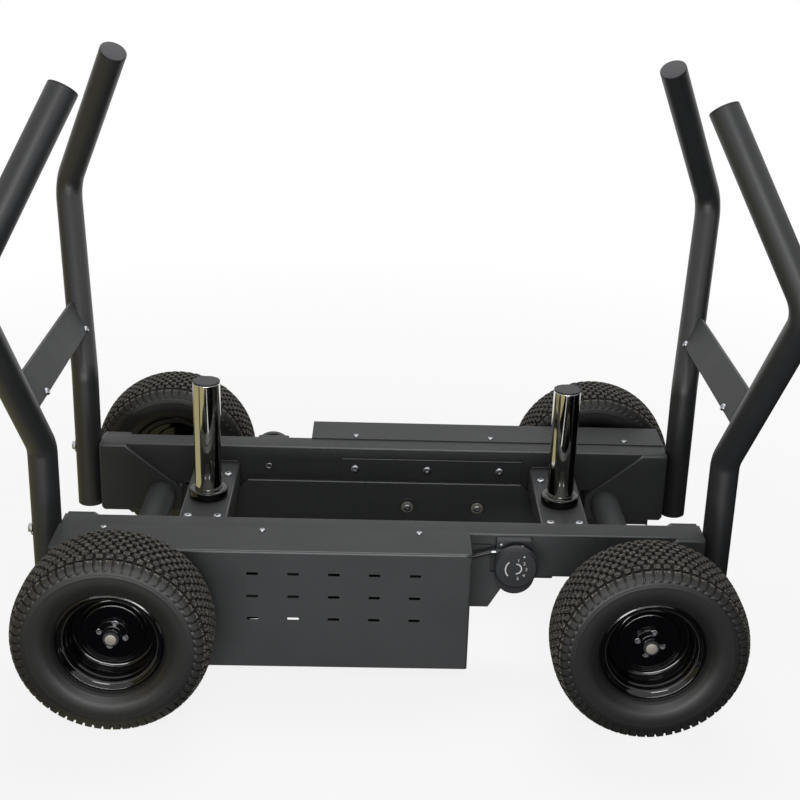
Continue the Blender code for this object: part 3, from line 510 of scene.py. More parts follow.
panel_low, panel_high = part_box("left_inner_panel")
wall = panel_high.y
skin = wall - PANEL_THICK
strip_face = wall - STRIP_THICK
inward = (0, -1, 0)
top = panel_low.z + PANEL_HEIGHT
reach = panel_high.x + PANEL_WIDER
shoulders = [(reach, panel_low.z), (reach, top - PANEL_CUT), (reach - PANEL_CUT, top),
             (PANEL_CUT - reach, top), (-reach, top - PANEL_CUT)]
low_corner = {"left": [(-reach, panel_low.z)],
              "right": [(-reach, CUT_UP[2]), (-CUT_UP[1], CUT_UP[2]), (-CUT_UP[0], panel_low.z)]}
strip = box_outline(*STRIP_REACH, top - PANEL_THICK, panel_high.z, 0.0015)
for side, sign in SIDES.items():
    parts = [plate(rounded(shoulders + low_corner[side], 0.003), skin, wall, "Y", PANEL_EDGE),
             plate(strip, strip_face, wall, "Y", 0.0012)]
    piece(side + "_back_panel", parts, powder, side + "_inner_panel", sign=-sign,
          edges=painted_highlight_edge_coat)
    screws = [button_screw((x, strip_face, STRIP_SCREW_Z), inward, STRIP_SCREW) for x in STRIP_SCREWS]
    piece(side + "_strip_screws", screws, zinc, sign=-sign)
    eye = hoop(*EYE, (EYE_X, -rail_high.y, EYE_Z), inward, 0.0008, 32)
    piece(side + "_eye_bolt", [eye], zinc, sign=-sign)
    for number, x in enumerate(SHAFT_X, 1):
        centre = (x, skin, SHAFT_Z)
        ring = hoop(*SHAFT_RING, centre, inward, 0.0005)
        # The rings wear the edge coat, whose lighter tone paints a highlight round them.
        piece(f"{side}_shaft_ring_{number}", [ring], painted_highlight_edge_coat, sign=-sign)
        washer = disc(WASHER_R, 0, WASHER_THICK, centre, inward, 0.0008, 48)
        piece(f"{side}_shaft_washer_{number}", [washer], steel, sign=-sign)
        screw = button_screw((x, skin - WASHER_THICK, SHAFT_Z), inward, SHAFT_SCREW)
        piece(f"{side}_shaft_screw_{number}", [screw], zinc, sign=-sign)

# Tyres: 13 x 5.00-6 turf tyres of black rubber, each moulded in one piece. Nine staggered rows of
# small blocks stand on the crown, and the outer row runs down the shoulder until it fades away.
RUBBER_DARK = "#1b1a18"
# Grey-brown of the tread's specks: dust, and painted highlight.
RUBBER_DUST_AND_HIGHLIGHT = "#8a857a"
RUBBER_SIDE = ("#191918", "#1f1f1f")
PITCH_COUNT = 62
BLOCK_ROWS = (0, 0.0115, 0.0230, 0.0345, 0.0460)
BLOCK_COUNT = (2 * len(BLOCK_ROWS) - 1) * PITCH_COUNT
BLOCK_HALF = (0.0048, 0.0062)
BLOCK_CUT = 0.75
BLOCK_TAPER = 0.88
TREAD_DEPTH = 0.006
LUG_TOP = 0.0560
LUG_END = 0.0770
LUG_FADE = 0.0470
LUG_STEPS = 9
LUG_HALF = 0.47
# How much dust and painted highlight a block gets on each of its four rings, and a lug on its way down and
# over its six edges.
# The lugs' upper ends get the most: a bright dash of painted highlight along their top edges.
BLOCK_DUST_AND_HIGHLIGHT = (0.0, 0.0, 0.7, 1.0)
LUG_DUST_AND_HIGHLIGHT = (6.0, 3.0, 0.4, 0.1, 0, 0, 0, 0, 0)
LUG_EDGE_DUST_AND_HIGHLIGHT = (0.0, 0.3, 0.7, 0.7, 0.3, 0.0)
# (way from the crown, half width) of the two fine ribs on each sidewall.
RIBS = ((0.1240, 0.0012), (0.0850, 0.0010))
RIB_HEIGHT = 0.00042
SIDE_START = 0.1500
tyre_low, tyre_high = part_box("front_left_tyre")
tyre_r = (tyre_high.z - tyre_low.z) / 2
tyre_mid = (tyre_low.y + tyre_high.y) / 2
# (radius, distance from the middle plane) down one side of the mould, crown to bead.
MOULD = np.array([
    (tyre_r, 0.0), (0.1649, 0.0110), (0.1646, 0.0217), (0.1632, 0.0330), (0.1606, 0.0440),
    (0.1574, 0.0526), (0.1538, 0.0584), (0.1500, 0.0610), (0.1450, 0.0625), (0.1360, 0.0642),
    (0.1260, 0.0649), (0.1150, 0.0644), (0.1050, 0.0620), (0.0970, 0.0568), (0.0915, 0.0508),
    (0.0892, 0.0458), (0.0850, 0.0430), (0.0800, 0.0412), (0.0766, 0.0400),
])


def smooth(points, steps):
    """A Catmull-Rom curve: each span is a cubic that leaves a point along its neighbours' chord."""
    padded = np.vstack([2 * points[0] - points[1], points, 2 * points[-1] - points[-2]])
    a, b, c, d = padded[:-3], padded[1:-2], padded[2:-1], padded[3:]
    t = np.linspace(0, 1, steps, endpoint=False)[:, None, None]
    spans = 0.5 * (2 * b + (c - a) * t + (2 * a - 5 * b + 4 * c - d) * t ** 2
                   + (3 * b - a - 3 * c + d) * t ** 3)
    return np.vstack([spans.transpose(1, 0, 2).reshape(-1, points.shape[1]), points[-1:]])


mould = smooth(MOULD, 6)
run = np.concatenate([[0], np.cumsum(np.linalg.norm(np.diff(mould, axis=0), axis=1))])


def on_tyre(along, angle, height):
    """A point of the tyre: `along` is the way from the crown over the mould's curve, angle goes round the
    axle, and height is measured square to the curve, 0 on the tread's outer face."""
    way = np.abs(along)
    back, on = np.maximum(way - 0.001, 0), way + 0.001
    radius, across = (np.interp(way, run, column) for column in mould.T)
    d_radius, d_across = (np.interp(on, run, column) - np.interp(back, run, column) for column in mould.T)
    length = np.hypot(d_radius, d_across)
    radius = radius + height * d_across / length
    across = (across - height * d_radius / length) * np.where(along < 0, -1, 1)
    return np.stack(np.broadcast_arrays(radius * np.cos(angle), across, radius * np.sin(angle)), axis=-1)


def groove(along):
    """How deep the grooves are: the full depth over the crown, running out to nothing down the shoulder."""
    return TREAD_DEPTH * np.clip((LUG_END - np.abs(along)) / (LUG_END - LUG_FADE), 0, 1) ** 0.8


def blocks(middle, angles):
    """Copies of one block at the given angles: four rings of eight points with cut corners, from a foot sunk
    in the groove, up drafted walls and over a small chamfer to the top face."""
    a = BLOCK_CUT
    corner = np.array([(1, a), (a, 1), (-a, 1), (-1, a), (-1, -a), (-a, -1), (a, -1), (1, -a)])
    size = np.array([1.0, BLOCK_TAPER + 0.04, BLOCK_TAPER, BLOCK_TAPER - 0.07])[:, None]
    way = middle + corner[None, :, 0] * BLOCK_HALF[0] * size
    turn = corner[None, :, 1] * BLOCK_HALF[1] * size / tyre_r
    sink = np.array([1.12, 0.5, 0.10, 0.0])[:, None]
    height = -groove(way) * sink
    points = on_tyre(way[None], angles[:, None, None] + turn[None], height[None])
    return [shell(copy) for copy in points]


def shoulder_lugs(sign, angles, half_round):
    """The outer row: each lug follows the mould from the tread's edge down the shoulder, growing wider
    as the grooves beside it narrow and run out."""
    way = np.linspace(LUG_TOP, LUG_END, LUG_STEPS)
    share = (way - LUG_TOP) / (LUG_END - LUG_TOP)
    width = half_round * (0.80 + 0.20 * share ** 1.5)
    low = -groove(way) * 1.05 - 0.0004
    high = -0.0002 * share
    middle = low * 0.3 + high * 0.7
    edges = ((-1.0, low), (-0.97, middle), (-0.90, high), (0.90, high), (0.97, middle), (1.0, low))
    rings = np.stack([on_tyre(sign * way[:, None],
                              angles[:, None, None] + (side * width / tyre_r)[None, :, None], level[:, None])
                      for side, level in edges], axis=-2)
    return [shell(copy) for copy in rings.reshape(len(angles), LUG_STEPS, 6, 3)]


def tyre_parts():
    """One tyre about the origin, its axle along Y: the carcass, and then the blocks that stand on it."""
    way = np.concatenate([np.linspace(0, LUG_END, 30), run[run > LUG_END + 0.001]])
    way = np.concatenate([-way[:0:-1], way])
    angle = np.arange(192) * 2 * np.pi / 192
    ribs = sum(RIB_HEIGHT * np.exp(-((np.abs(way) - at) / half) ** 2) for at, half in RIBS)
    height = ribs - groove(way) - 0.0006 * (groove(way) > 0)
    parts = [shell(on_tyre(way[:, None], angle[None], height[:, None]), True)]
    pitch = 2 * np.pi / PITCH_COUNT
    for number, row in enumerate(BLOCK_ROWS):
        angles = pitch * (np.arange(PITCH_COUNT) + 0.5 * (number % 2))
        for sign in ((-1, 1) if row else (1,)):
            parts += blocks(sign * row, angles)
    for sign in (-1, 1):
        parts += shoulder_lugs(sign, pitch * np.arange(PITCH_COUNT), pitch * tyre_r * LUG_HALF)
    return parts


# Tyre rubber: the blocks' top faces and the lugs' upper ends are speckled grey-brown, partly with dust and
# partly with painted highlight, the glints their edges catch. The grooves are black, and the sidewall has the
# dull sheen of mould release, cut by the fine rings that the mould was turned with.
rubber, tree, place = new_finish("turf_tyre_rubber")
# Where the tread is painted lighter: dust, and painted highlight on block tops and lug ends.
dust_and_highlight = add(tree, "Attribute", attribute_name="dust_and_highlight").outputs["Fac"]
sidewall = add(tree, "Attribute", attribute_name="sidewall").outputs["Fac"]
scuff = noise(tree, place, 0.0028, 4.0, 0.7)
speck_mask = spread(tree, scuff, 0.0, 1.0, 0.49, 0.64)
dust_and_highlight_share = add(tree, "Math", {0: dust_and_highlight, 1: speck_mask}, operation="MULTIPLY").outputs[0]
side_tone = mix(tree, noise(tree, place, 0.060, 4.0), *RUBBER_SIDE)
tone = mix(tree, sidewall, mix(tree, dust_and_highlight_share, RUBBER_DARK, RUBBER_DUST_AND_HIGHLIGHT), side_tone)
relief = add(tree, "Bump", {"Height": scuff, "Strength": 0.35, "Distance": 0.0006}).outputs["Normal"]
shader = add(tree, "BsdfPrincipled", {"Base Color": tone, "Roughness": spread(tree, sidewall, 0.80, 0.44),
                                      "Specular IOR Level": 0.45, "Normal": relief})
add(tree, "OutputMaterial", {"Surface": shader.outputs["BSDF"]})

mould_parts = tyre_parts()
carcass_reach = np.linalg.norm(mould_parts[0][0][:, [0, 2]], axis=1)
# Per point share of dust and painted highlight, and of the sidewall's tone.
marks = {
    "dust_and_highlight": (np.zeros(len(carcass_reach)), np.tile(np.repeat(BLOCK_DUST_AND_HIGHLIGHT, 8), BLOCK_COUNT),
             np.tile(np.outer(LUG_DUST_AND_HIGHLIGHT, LUG_EDGE_DUST_AND_HIGHLIGHT).ravel(), 2 * PITCH_COUNT)),
    "sidewall": (np.clip((SIDE_START - carcass_reach) / 0.004, 0, 1), np.zeros(32 * BLOCK_COUNT),
                 np.tile(np.repeat(np.linspace(0, 1, LUG_STEPS) ** 0.5, 6), 2 * PITCH_COUNT)),
}
for side, end, sign, x_sign in CORNERS:
    centre = np.array([x_sign * axle_x, -sign * tyre_mid, axle_z])
    parts = [(points + centre, faces) for points, faces in mould_parts]
    made = piece(f"{end}_{side}_turf_tyre", parts, rubber, f"{end}_{side}_tyre",
                 f"{end}_{side}_wheel", smooth=34)
    for label, rows in marks.items():
        values = np.concatenate(rows).astype(np.float32)
        made.data.attributes.new(label, "FLOAT", "POINT").data.foreach_set("value", values)

# Rims: 6 inch pressed steel rims with a deep dish, dipped in gloss black enamel. The disc is stepped
# like a saucer, and a short flanged hub is bolted through its middle.
rim_low, rim_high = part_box("front_left_rim")
flange_r = (rim_high.z - rim_low.z) / 2
rim_lip = (rim_high.y - rim_low.y) / 2
SEAT_R = 0.0762
DISC_OUT = 0.010
SLEEVE_R = 0.0158
HUB_BORE = 0.0099
HUB_SCREW = 0.0040
HUB_SCREW_R = 0.0205
HUB_SCREW_TURN = -14.0
HUB_NOSE_R = 0.0260
# (distance out from the disc's plane, radius) of the dish's outer skin, from the lip to the hub.
DISH = np.array([
    (rim_lip - 0.0004, flange_r - 0.0012), (rim_lip, flange_r - 0.0028),
    (rim_lip - 0.0008, flange_r - 0.0052), (rim_lip - 0.0050, 0.0800), (rim_lip - 0.0090, 0.0752),
    (rim_lip - 0.0150, 0.0742), (rim_lip - 0.0185, 0.0715), (rim_lip - 0.0230, 0.0700), (0.0120, 0.0690),
    (0.0062, 0.0668), (0.0040, 0.0625), (0.0036, 0.0570), (0.0052, 0.0535), (0.0085, 0.0510),
    (0.0099, 0.0470), (0.0106, 0.0300), (0.0100, 0.0180), (0.0100, SLEEVE_R + 0.0004),
])
# (radius, distance out) of the skin behind the dish and of the tyre's seat, from the hub to the lip.
BEHIND = np.array([
    (SLEEVE_R + 0.0004, 0.0072), (0.0475, 0.0072), (0.0530, -0.0028), (0.0728, -0.0028), (0.0728, -0.0360),
    (0.0780, -0.0405), (0.0868, -0.0430), (0.0868, -0.0468), (flange_r, -0.0462), (flange_r, -0.0444),
    (0.0845, -0.0420), (0.0805, -0.0400), (SEAT_R, -0.0380), (SEAT_R, 0.0380), (0.0805, 0.0400),
    (0.0845, 0.0420), (flange_r, 0.0440), (flange_r, 0.0462),
])

rim_profile = np.vstack([smooth(DISH, 5)[:, ::-1], rounded(BEHIND, 0.0008, 2, False)])
for side, end, sign, x_sign in CORNERS:
    name, body = f"{end}_{side}", f"{end}_{side}_wheel"
    outside = (0, -sign, 0)
    centre = np.array([x_sign * axle_x, -sign * tyre_mid, axle_z])
    piece(name + "_dished_rim", [turned(rim_profile, centre, outside, 128, True)], enamel,
          name + "_rim", body, smooth=45)
    low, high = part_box(name + "_hub")
    inner_end = tyre_mid - min(abs(low.y), abs(high.y))
    face = DISC_OUT + 0.0003
    hub = rounded([(HUB_BORE, face + 0.0150), (0.0140, face + 0.0150), (0.0146, face + 0.0075),
                   (HUB_NOSE_R, face + 0.0065), (HUB_NOSE_R, face), (SLEEVE_R, face),
                   (SLEEVE_R, -inner_end), (HUB_BORE, -inner_end)],
                  [0.0006, 0.0020, 0.0020, 0.0012, 0.0004, 0.0003, 0.0005, 0.0003], 4)
    piece(name + "_flanged_hub", [turned(hub, centre, outside, 64, True)], enamel,
          name + "_hub", body)
    screws = []
    for quarter in range(4):
        angle = math.radians(HUB_SCREW_TURN) + quarter * math.pi / 2
        spot = centre + np.array([sign * HUB_SCREW_R * math.cos(angle), -sign * (face + 0.0062),
                                  HUB_SCREW_R * math.sin(angle)])
        screws += hexagon_head(spot, outside, HUB_SCREW, 1.35)
    piece(name + "_hub_screws", screws, zinc, body=body)

# Brake drive: on each side a ribbed belt runs from a pulley on the wheel's sleeve to a small pulley
# that is one piece with a turned aluminium flywheel. A slotted arm with magnets swings over its rim.
ALLOY = "#b5b7ba"
BELT_RUBBER = ("#0f0f0f", "#161616")

# Turned aluminium: fine concentric tool marks that draw the light out into a fan.
alloy = coat("turned_aluminium", (ALLOY,), (0.22, 0.38), cloud=(0.002, 2.0), metallic=1.0)
# Belt rubber: neoprene, matt, with a slightly paler woven back.
neoprene = coat("neoprene_belt_rubber", BELT_RUBBER, (0.75,), cloud=(0.0012, 2.0))

BRAKED_END = {"right": "rear", "left": "front"}


def wear(node, finish):
    """A CAD node whose shape is right as it is gets a finish of its own."""
    mesh = frame["nodes"][node].data
    mesh.materials.clear()
    mesh.materials.append(finish)
    mesh.polygons.foreach_set("material_index", [0] * len(mesh.polygons))


for side, end in BRAKED_END.items():
    wear(f"{end}_{side}_pulley", alloy)
    wear(side + "_flywheel", alloy)
    wear(side + "_drive_belt", neoprene)
    wear(side + "_magnet_arm", zinc)
    wear(side + "_drive_plate", powder)
for end in END_SIGN:
    wear(end + "_cross_plate", powder)

# Dials: a round housing on a bracket under each rail, and in front of it the dial that the hand
# turns, moulded in black polyamide with a fluted rim and a printed white scale from 1 to 5.
INK = ("#c4c4c2", "#d8d8d6")
FLUTES = 40
FLUTE_DEPTH = 0.00035
DIAL_CHAMFER = 0.0038
SCALE_DROP = 0.0009
STROKE = 0.0022
# (radius, start, end, rise) of the two printed arcs, and (radius, angle, size) of the dot.
ARCS = ((0.0185, 132, 223, 0.0), (0.0093, -90, 90, 0.0012))
DOT = (0.0277, 62, 0.0017)
FIGURE_R = 0.0178
FIGURE_HEIGHT = 0.0060
FIGURE_ANGLES = (78, 39, 0, -39, -78)
DIAL_BRACKET_X = (0.1945, 0.2561)
BRACKET_DEEP = 0.017
CUP_R = 0.034
CUP_START = 0.0053
BOSS_R = 0.0065
BOSS_LENGTH = 0.020
# (x, z, thread) of the two screws in the bracket.
BRACKET_SCREWS = ((0.2030, 0.2565, 0.0036), (0.2396, 0.2521, 0.0052))
CABLE_HIGH = (0.1935, -0.232, 0.2450)
housing_low, housing_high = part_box("right_dial_housing")
dial_low, dial_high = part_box("right_dial")
dial_r = (dial_high.x - dial_low.x) / 2
dial_x = (dial_high.x + dial_low.x) / 2
dial_z = (dial_high.z + dial_low.z) / 2
dial_face = dial_low.y

# Pad-printed ink: opaque white, slightly raised and satin.
ink = coat("white_pad_printed_ink", INK, (0.5,), cloud=(0.001, 2.0))


def fluted_dial():
    """A turned cap with flutes in its side: the radius there is less by depth * (1 - cos(n * angle)) / 2."""
    thick = dial_high.y - dial_low.y
    profile = solid_profile([(0, 0), (dial_r - 0.0010, 0), (dial_r, 0.0010), (dial_r, thick - DIAL_CHAMFER),
                             (dial_r - DIAL_CHAMFER, thick), (0, thick)], [0.0004, 0.0004, 0.0008, 0.0010])
    angle = np.arange(240) * 2 * np.pi / 240
    side = np.clip((profile[:, 0] - dial_r + 0.0016) / 0.0010, 0, 1)[:, None]
    radius = profile[:, :1] - side * FLUTE_DEPTH * (1 - np.cos(FLUTES * angle)) / 2
    return shell(np.stack([dial_x + radius * np.cos(angle), dial_high.y - profile[:, 1:] + 0 * angle,
                           dial_z + radius * np.sin(angle)], axis=-1))


def printed(outline):
    """A mark of ink on the dial's face, 0.08 mm thick, from its outline about the dial's middle."""
    outline = np.asarray(outline) + (dial_x, dial_z - SCALE_DROP)
    ring = np.stack([np.stack([outline[:, 0], np.full(len(outline), y), outline[:, 1]], axis=-1)
                     for y in (dial_face + 0.00002, dial_face - 0.00008)])
    return shell(ring)


def arc_mark(radius, start, end, rise):
    """A band STROKE wide round an arc, from start to end in degrees, its centre moved up by rise."""
    angle = np.radians(np.linspace(start, end, 24))[:, None]
    ray = np.hstack([np.cos(angle), np.sin(angle)])
    return printed(np.vstack([ray * (radius + STROKE / 2), (ray * (radius - STROKE / 2))[::-1]]) + (0, rise))


def dot_mark(radius, degrees, size):
    angle = np.arange(16) * np.pi / 8
    middle = radius * np.array([math.cos(math.radians(degrees)), math.sin(math.radians(degrees))])
    return printed(middle + size * np.stack([np.cos(angle), np.sin(angle)], axis=1))


def figure(number, degrees):
    """A plain numeral from Blender's own letter shapes, made a mesh and then put in its place."""
    text = bpy.data.curves.new("numeral", "FONT")
    text.body = str(number)
    text.size = FIGURE_HEIGHT * 1.4
    text.align_x = text.align_y = "CENTER"
    text.extrude = 0.00005
    holder = bpy.data.objects.new("numeral", text)
    mesh = bpy.data.meshes.new_from_object(holder)
    points = np.empty(len(mesh.vertices) * 3)
    mesh.vertices.foreach_get("co", points)
    x, z, out = points.reshape(-1, 3).T
    angle = math.radians(degrees)
    faces = [list(face.vertices) for face in mesh.polygons]
    bpy.data.objects.remove(holder)
    return outward(np.stack([dial_x + FIGURE_R * math.cos(angle) + x, dial_face - 0.00003 - out,
                             dial_z - SCALE_DROP + FIGURE_R * math.sin(angle) + z], axis=-1), faces)


back = housing_high.y
bracket = box_outline(*DIAL_BRACKET_X, dial_z, housing_high.z, 0.003)
boss_start = np.array([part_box("right_cable")[1].x + 0.0003, *CABLE_HIGH[1:]])
cup = [plate(bracket, back - BRACKET_DEEP, back, "Y", 0.0012),
       disc(CUP_R, 0, back - CUP_START - housing_low.y, (dial_x, back - CUP_START, housing_low.z + CUP_R),
            inward, [0.0010, 0.0008], 96),
       tube(BOSS_R, [boss_start, boss_start + (BOSS_LENGTH, 0, 0)], (0, 0, 1))]
screws = [button_screw((x, back - BRACKET_DEEP, z), inward, thread) for x, z, thread in BRACKET_SCREWS]
print_marks = [arc_mark(*arc) for arc in ARCS] + [dot_mark(*DOT)]
print_marks += [figure(number, degrees) for number, degrees in enumerate(FIGURE_ANGLES, 1)]
dial = fluted_dial()
for side, sign in SIDES.items():
    body = side + "_dial"
    piece(side + "_dial_cup", cup, plastic, side + "_dial_housing", sign=sign)
    piece(side + "_dial_bracket_screws", screws, zinc, sign=sign)
    piece(side + "_resistance_dial", [dial], plastic, side + "_dial", body, sign)
    piece(side + "_dial_scale", print_marks, ink, body=body, sign=sign)

# Control cables: a short black sheathed cable from each housing to its stop on the drive plate,
# with a thin bright adjuster where it enters the housing.
SHEATH = "#0e0e0f"
CABLE_R = 0.0035
CABLE_LOW = (0.1400, -0.232, 0.2330)
CABLE_BEND = 0.014
ADJUSTER_START = 0.1865
ADJUSTER_LAP = 0.0020
ADJUSTER_R = 0.0025

# Cable sheath: smooth extruded vinyl over a steel winding.
sheath = coat("extruded_vinyl_sheath", (SHEATH,), (0.30, 0.42), cloud=(0.003, 2.0))

t = np.linspace(0, 1, 33)[:, None]
high, low = np.array(CABLE_HIGH), np.array(CABLE_LOW)
bend = np.array([CABLE_BEND, 0, 0])
cable_route = ((1 - t) ** 3 * high + 3 * t * (1 - t) ** 2 * (high - bend)
               + 3 * t ** 2 * (1 - t) * (low + bend) + t ** 3 * low)
sheath_route = cable_route[cable_route[:, 0] < ADJUSTER_START]
adjuster_route = [sheath_route[0] - (ADJUSTER_LAP, 0, 0), sheath_route[0], high + (0.0003, 0, 0)]
cable = tube(CABLE_R, sheath_route, (0, 1, 0), 20)
adjuster = tube(ADJUSTER_R, adjuster_route, (0, 1, 0), 16)
for side, sign in SIDES.items():
    piece(side + "_control_cable", [cable], sheath, side + "_cable", sign=sign)
    piece(side + "_cable_adjuster", [adjuster], zinc, sign=sign)

# Covers: one folded sheet of 2 mm steel on each side, cut with fifteen slots and a hole for the hub.
# Its top lies on the rail and is held by three screws, and its front has a lip folded in at both ends.
SHEET_STEEL = 0.002
FOLD_R = 0.005
LIP = 0.009
SLOT = (0.020, 0.005)
SLOT_CORNER = 0.0018
SLOT_PITCH = (0.0691, 0.0429)
FIRST_SLOT = (-0.2235, 0.2286)
SLOT_COUNT = (5, 3)
HUB_HOLE_R = 0.0218
RELIEF = 0.0025
# How far beside a fold the net gets a line of its own, so that the flat faces beside it stay flat.
SUPPORT = 0.0006
COVER_SCREW = 0.0060
COVER_SCREWS = (-0.4850, -0.2125, 0.0595)
COVER_SCREW_Y = -0.2190
cover_low, cover_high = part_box("right_cover")
bend = FOLD_R * math.pi / 2
fold_start = cover_high.z - FOLD_R - cover_low.z
fold_end = fold_start + bend
flap = FOLD_R * (math.pi / 2 - 1) + LIP - FOLD_R


def cut_sheet(loops, lines):
    """A flat sheet as triangles: a Delaunay net over its edges and fold lines, less the triangles whose
    middle is outside it, which a ray to +X shows by crossing the loops an even number of times."""
    points = np.vstack(loops + lines)
    edges, start = [], 0
    for loop in loops:
        count = len(loop)
        edges += [(start + i, start + (i + 1) % count) for i in range(count)]
        start += count
    rims = np.array(edges)
    for line in lines:
        edges += [(start + i, start + i + 1) for i in range(len(line) - 1)]
        start += len(line)
    net = geometry.delaunay_2d_cdt([tuple(p) for p in points.tolist()], edges, [], 0, 1e-7)
    flat = np.array([tuple(p) for p in net[0]])
    faces = np.array(net[2])
    middle = flat[faces].mean(axis=1)[:, None]
    a, b = points[rims[:, 0]][None], points[rims[:, 1]][None]
    level = (a[..., 1] > middle[..., 1]) != (b[..., 1] > middle[..., 1])
    rise = np.where(level, b[..., 1] - a[..., 1], 1.0)
    cross_x = a[..., 0] + (middle[..., 1] - a[..., 1]) * (b[..., 0] - a[..., 0]) / rise
    inside = ((level & (cross_x > middle[..., 0])).sum(axis=1) % 2) == 1
    used, faces = np.unique(faces[inside], return_inverse=True)
    return flat[used], faces.reshape(-1, 3)


def folded(flat):
    """The cut sheet folded: x past each end wraps round a lip, and s, the way up the front from its lower
    edge, wraps round the top fold. Both folds are arcs of FOLD_R, and the rest stays flat."""
    x, s = flat.T
    left, right = cover_low.x + FOLD_R, cover_high.x - FOLD_R
    on_front = s < fold_start - RELIEF / 2
    past = np.where(on_front, np.maximum(x - right, 0) + np.maximum(left - x, 0), 0)
    turn = np.clip(past / FOLD_R, 0, math.pi / 2)
    straight = np.maximum(past - bend, 0)
    hand = np.where(x > right, 1, -1)
    edge = np.where(x > right, right, left)
    place_x = np.where(past > 0, edge + hand * FOLD_R * np.sin(turn), x)
    deep = FOLD_R * (1 - np.cos(turn)) + straight
    roll = np.clip((s - fold_start) / FOLD_R, 0, math.pi / 2)
    up = np.minimum(s, fold_start) + FOLD_R * np.sin(roll)
    back = FOLD_R * (1 - np.cos(roll)) + np.maximum(s - fold_end, 0)
    return np.stack([place_x, cover_low.y + back + deep, cover_low.z + up], axis=1)


def cover_pattern():
    """The flat pattern: the outline, with a flap at each end of the front and a relief cut under the top
    fold, the slots, the hub's hole, and the lines that the net follows over and beside each fold."""
    top = fold_end + cover_high.y - cover_low.y - FOLD_R
    low, high = fold_start - RELIEF, fold_start
    left, right = cover_low.x, cover_high.x
    inner = FOLD_R * 0.9
    loops = [np.array([
        (left - flap, 0), (right + flap, 0), (right + flap, low), (right - inner, low),
        (right - inner, high), (right, high), (right, top), (left, top), (left, high),
        (left + inner, high), (left + inner, low), (left - flap, low),
    ])]
    slot_x, slot_s = np.array(SLOT) / 2
    for column in range(SLOT_COUNT[0]):
        for row in range(SLOT_COUNT[1]):
            x = FIRST_SLOT[0] + column * SLOT_PITCH[0]
            s = FIRST_SLOT[1] - row * SLOT_PITCH[1] - cover_low.z
            loops.append(box_outline(x - slot_x, x + slot_x, s - slot_s, s + slot_s, SLOT_CORNER))
    angle = np.arange(48) * 2 * np.pi / 48
    hole = HUB_HOLE_R * np.stack([np.cos(angle), np.sin(angle)], axis=1)
    loops.append(hole + (-axle_x, axle_z - cover_low.z))
    across = np.linspace(left, right, 60)
    lines = [np.stack([across, np.full(60, s)], axis=1)
             for s in (*np.linspace(fold_start + 0.0001, fold_end, 7), fold_end + SUPPORT)]
    between = np.linspace(left + inner, right - inner, 60)
    lines.append(np.stack([between, np.full(60, fold_start - SUPPORT)], axis=1))
    upward = np.linspace(0.0, low, 24)
    for start, hand in ((left + FOLD_R, -1), (right - FOLD_R, 1)):
        for way in (-SUPPORT, *np.linspace(0, bend, 6), bend + SUPPORT):
            lines.append(np.stack([np.full(24, start + hand * way), upward], axis=1))
    return loops, lines


pattern, triangles = cut_sheet(*cover_pattern())
sheet_points = folded(pattern)
corners = sheet_points[triangles]
facing = np.cross(corners[:, 1] - corners[:, 0], corners[:, 2] - corners[:, 0])
outside_in = facing[:, 1:] @ (-1, 1) < 0
triangles = np.where(outside_in[:, None], triangles[:, ::-1], triangles).tolist()
in_fold = np.abs(facing).max(axis=1) < 0.9999 * np.linalg.norm(facing, axis=1)
screws = [button_screw((x, COVER_SCREW_Y, cover_high.z), (0, 0, 1), COVER_SCREW) for x in COVER_SCREWS]
for side, sign in SIDES.items():
    made = piece(side + "_folded_cover", [(sheet_points, triangles)], powder, side + "_cover",
                 sign=sign, edges=painted_highlight_edge_coat, smooth=30)
    made.data.polygons.foreach_set("use_smooth", in_fold)
    sheet = made.modifiers.new("sheet", "SOLIDIFY")
    sheet.thickness = SHEET_STEEL
    sheet.offset = -1
    sheet.use_even_offset = True
    piece(side + "_cover_screws", screws, zinc, sign=sign)

# Handles: four lengths of 2 inch tube, each bent twice on a 55 mm former, plugged at the grip end and
# bolted to the rail's end, at the rear with a head outside. They have a smoother, blue-black satin coat.
HANDLE_R = 0.0254
FORMER_R = 0.055
LOW_BEND_Z = 0.407
HIGH_BEND = (0.6436, 0.3742, 0.7370)
GRIP_END = (0.5139, 0.2158, 1.0200)
PLUG_THICK = 0.0035
FOOT_EDGE = 0.0008
FOOT_BOLT = 0.0095
FOOT_BOLT_Z = 0.2515

# Tube coat: a smooth satin powder that flows out better than the frame's, so the light runs down it.
tube_coat = coat("smooth_satin_tube_coat", ("#232425", "#2a2b2d"), (0.36, 0.48), cloud=(0.090, 3.0),
                 relief=(0.0014, 1.0, 0.06, 0.0003))

rail_mid_y = (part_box("left_rail")[0].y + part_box("left_rail")[1].y) / 2
foot_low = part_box("front_left_handle")[0]
foot_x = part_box("front_left_bracket")[1].x + 0.0003 + HANDLE_R
corners = np.array([(foot_x, rail_mid_y, foot_low.z), (foot_x, rail_mid_y, LOW_BEND_Z), HIGH_BEND, GRIP_END])
for side, end, sign, x_sign in CORNERS:
    name = f"{end}_{side}"
    route = rounded(corners * (x_sign, -sign, 1), FORMER_R, 14, False)
    grip = unit(route[-1] - route[-2])
    plug_start = route[-1] - grip * PLUG_THICK
    bar = tube(HANDLE_R, np.vstack([route[:1], route[:1] + (0, 0, FOOT_EDGE), route[1:-1], plug_start]),
               (1, 0, 0), 64)
    bar[0][:64] = route[0] + (bar[0][:64] - route[0]) * (1 - FOOT_EDGE / HANDLE_R)
    piece(name + "_push_handle", [bar], tube_coat, name + "_handle")
    plug = disc(HANDLE_R - 0.0002, 0, PLUG_THICK, plug_start, grip, [0.0003, 0.0011])
    piece(name + "_grip_plug", [plug], plastic, name + "_handle_cap")
    if end == "rear":
        spot = (x_sign * (foot_x + HANDLE_R - FOOT_EDGE), -sign * rail_mid_y, FOOT_BOLT_Z)
        bolt = hexagon_head(spot, (x_sign, 0, 0), FOOT_BOLT, 1.2)
        piece(name + "_foot_bolt", bolt, zinc)

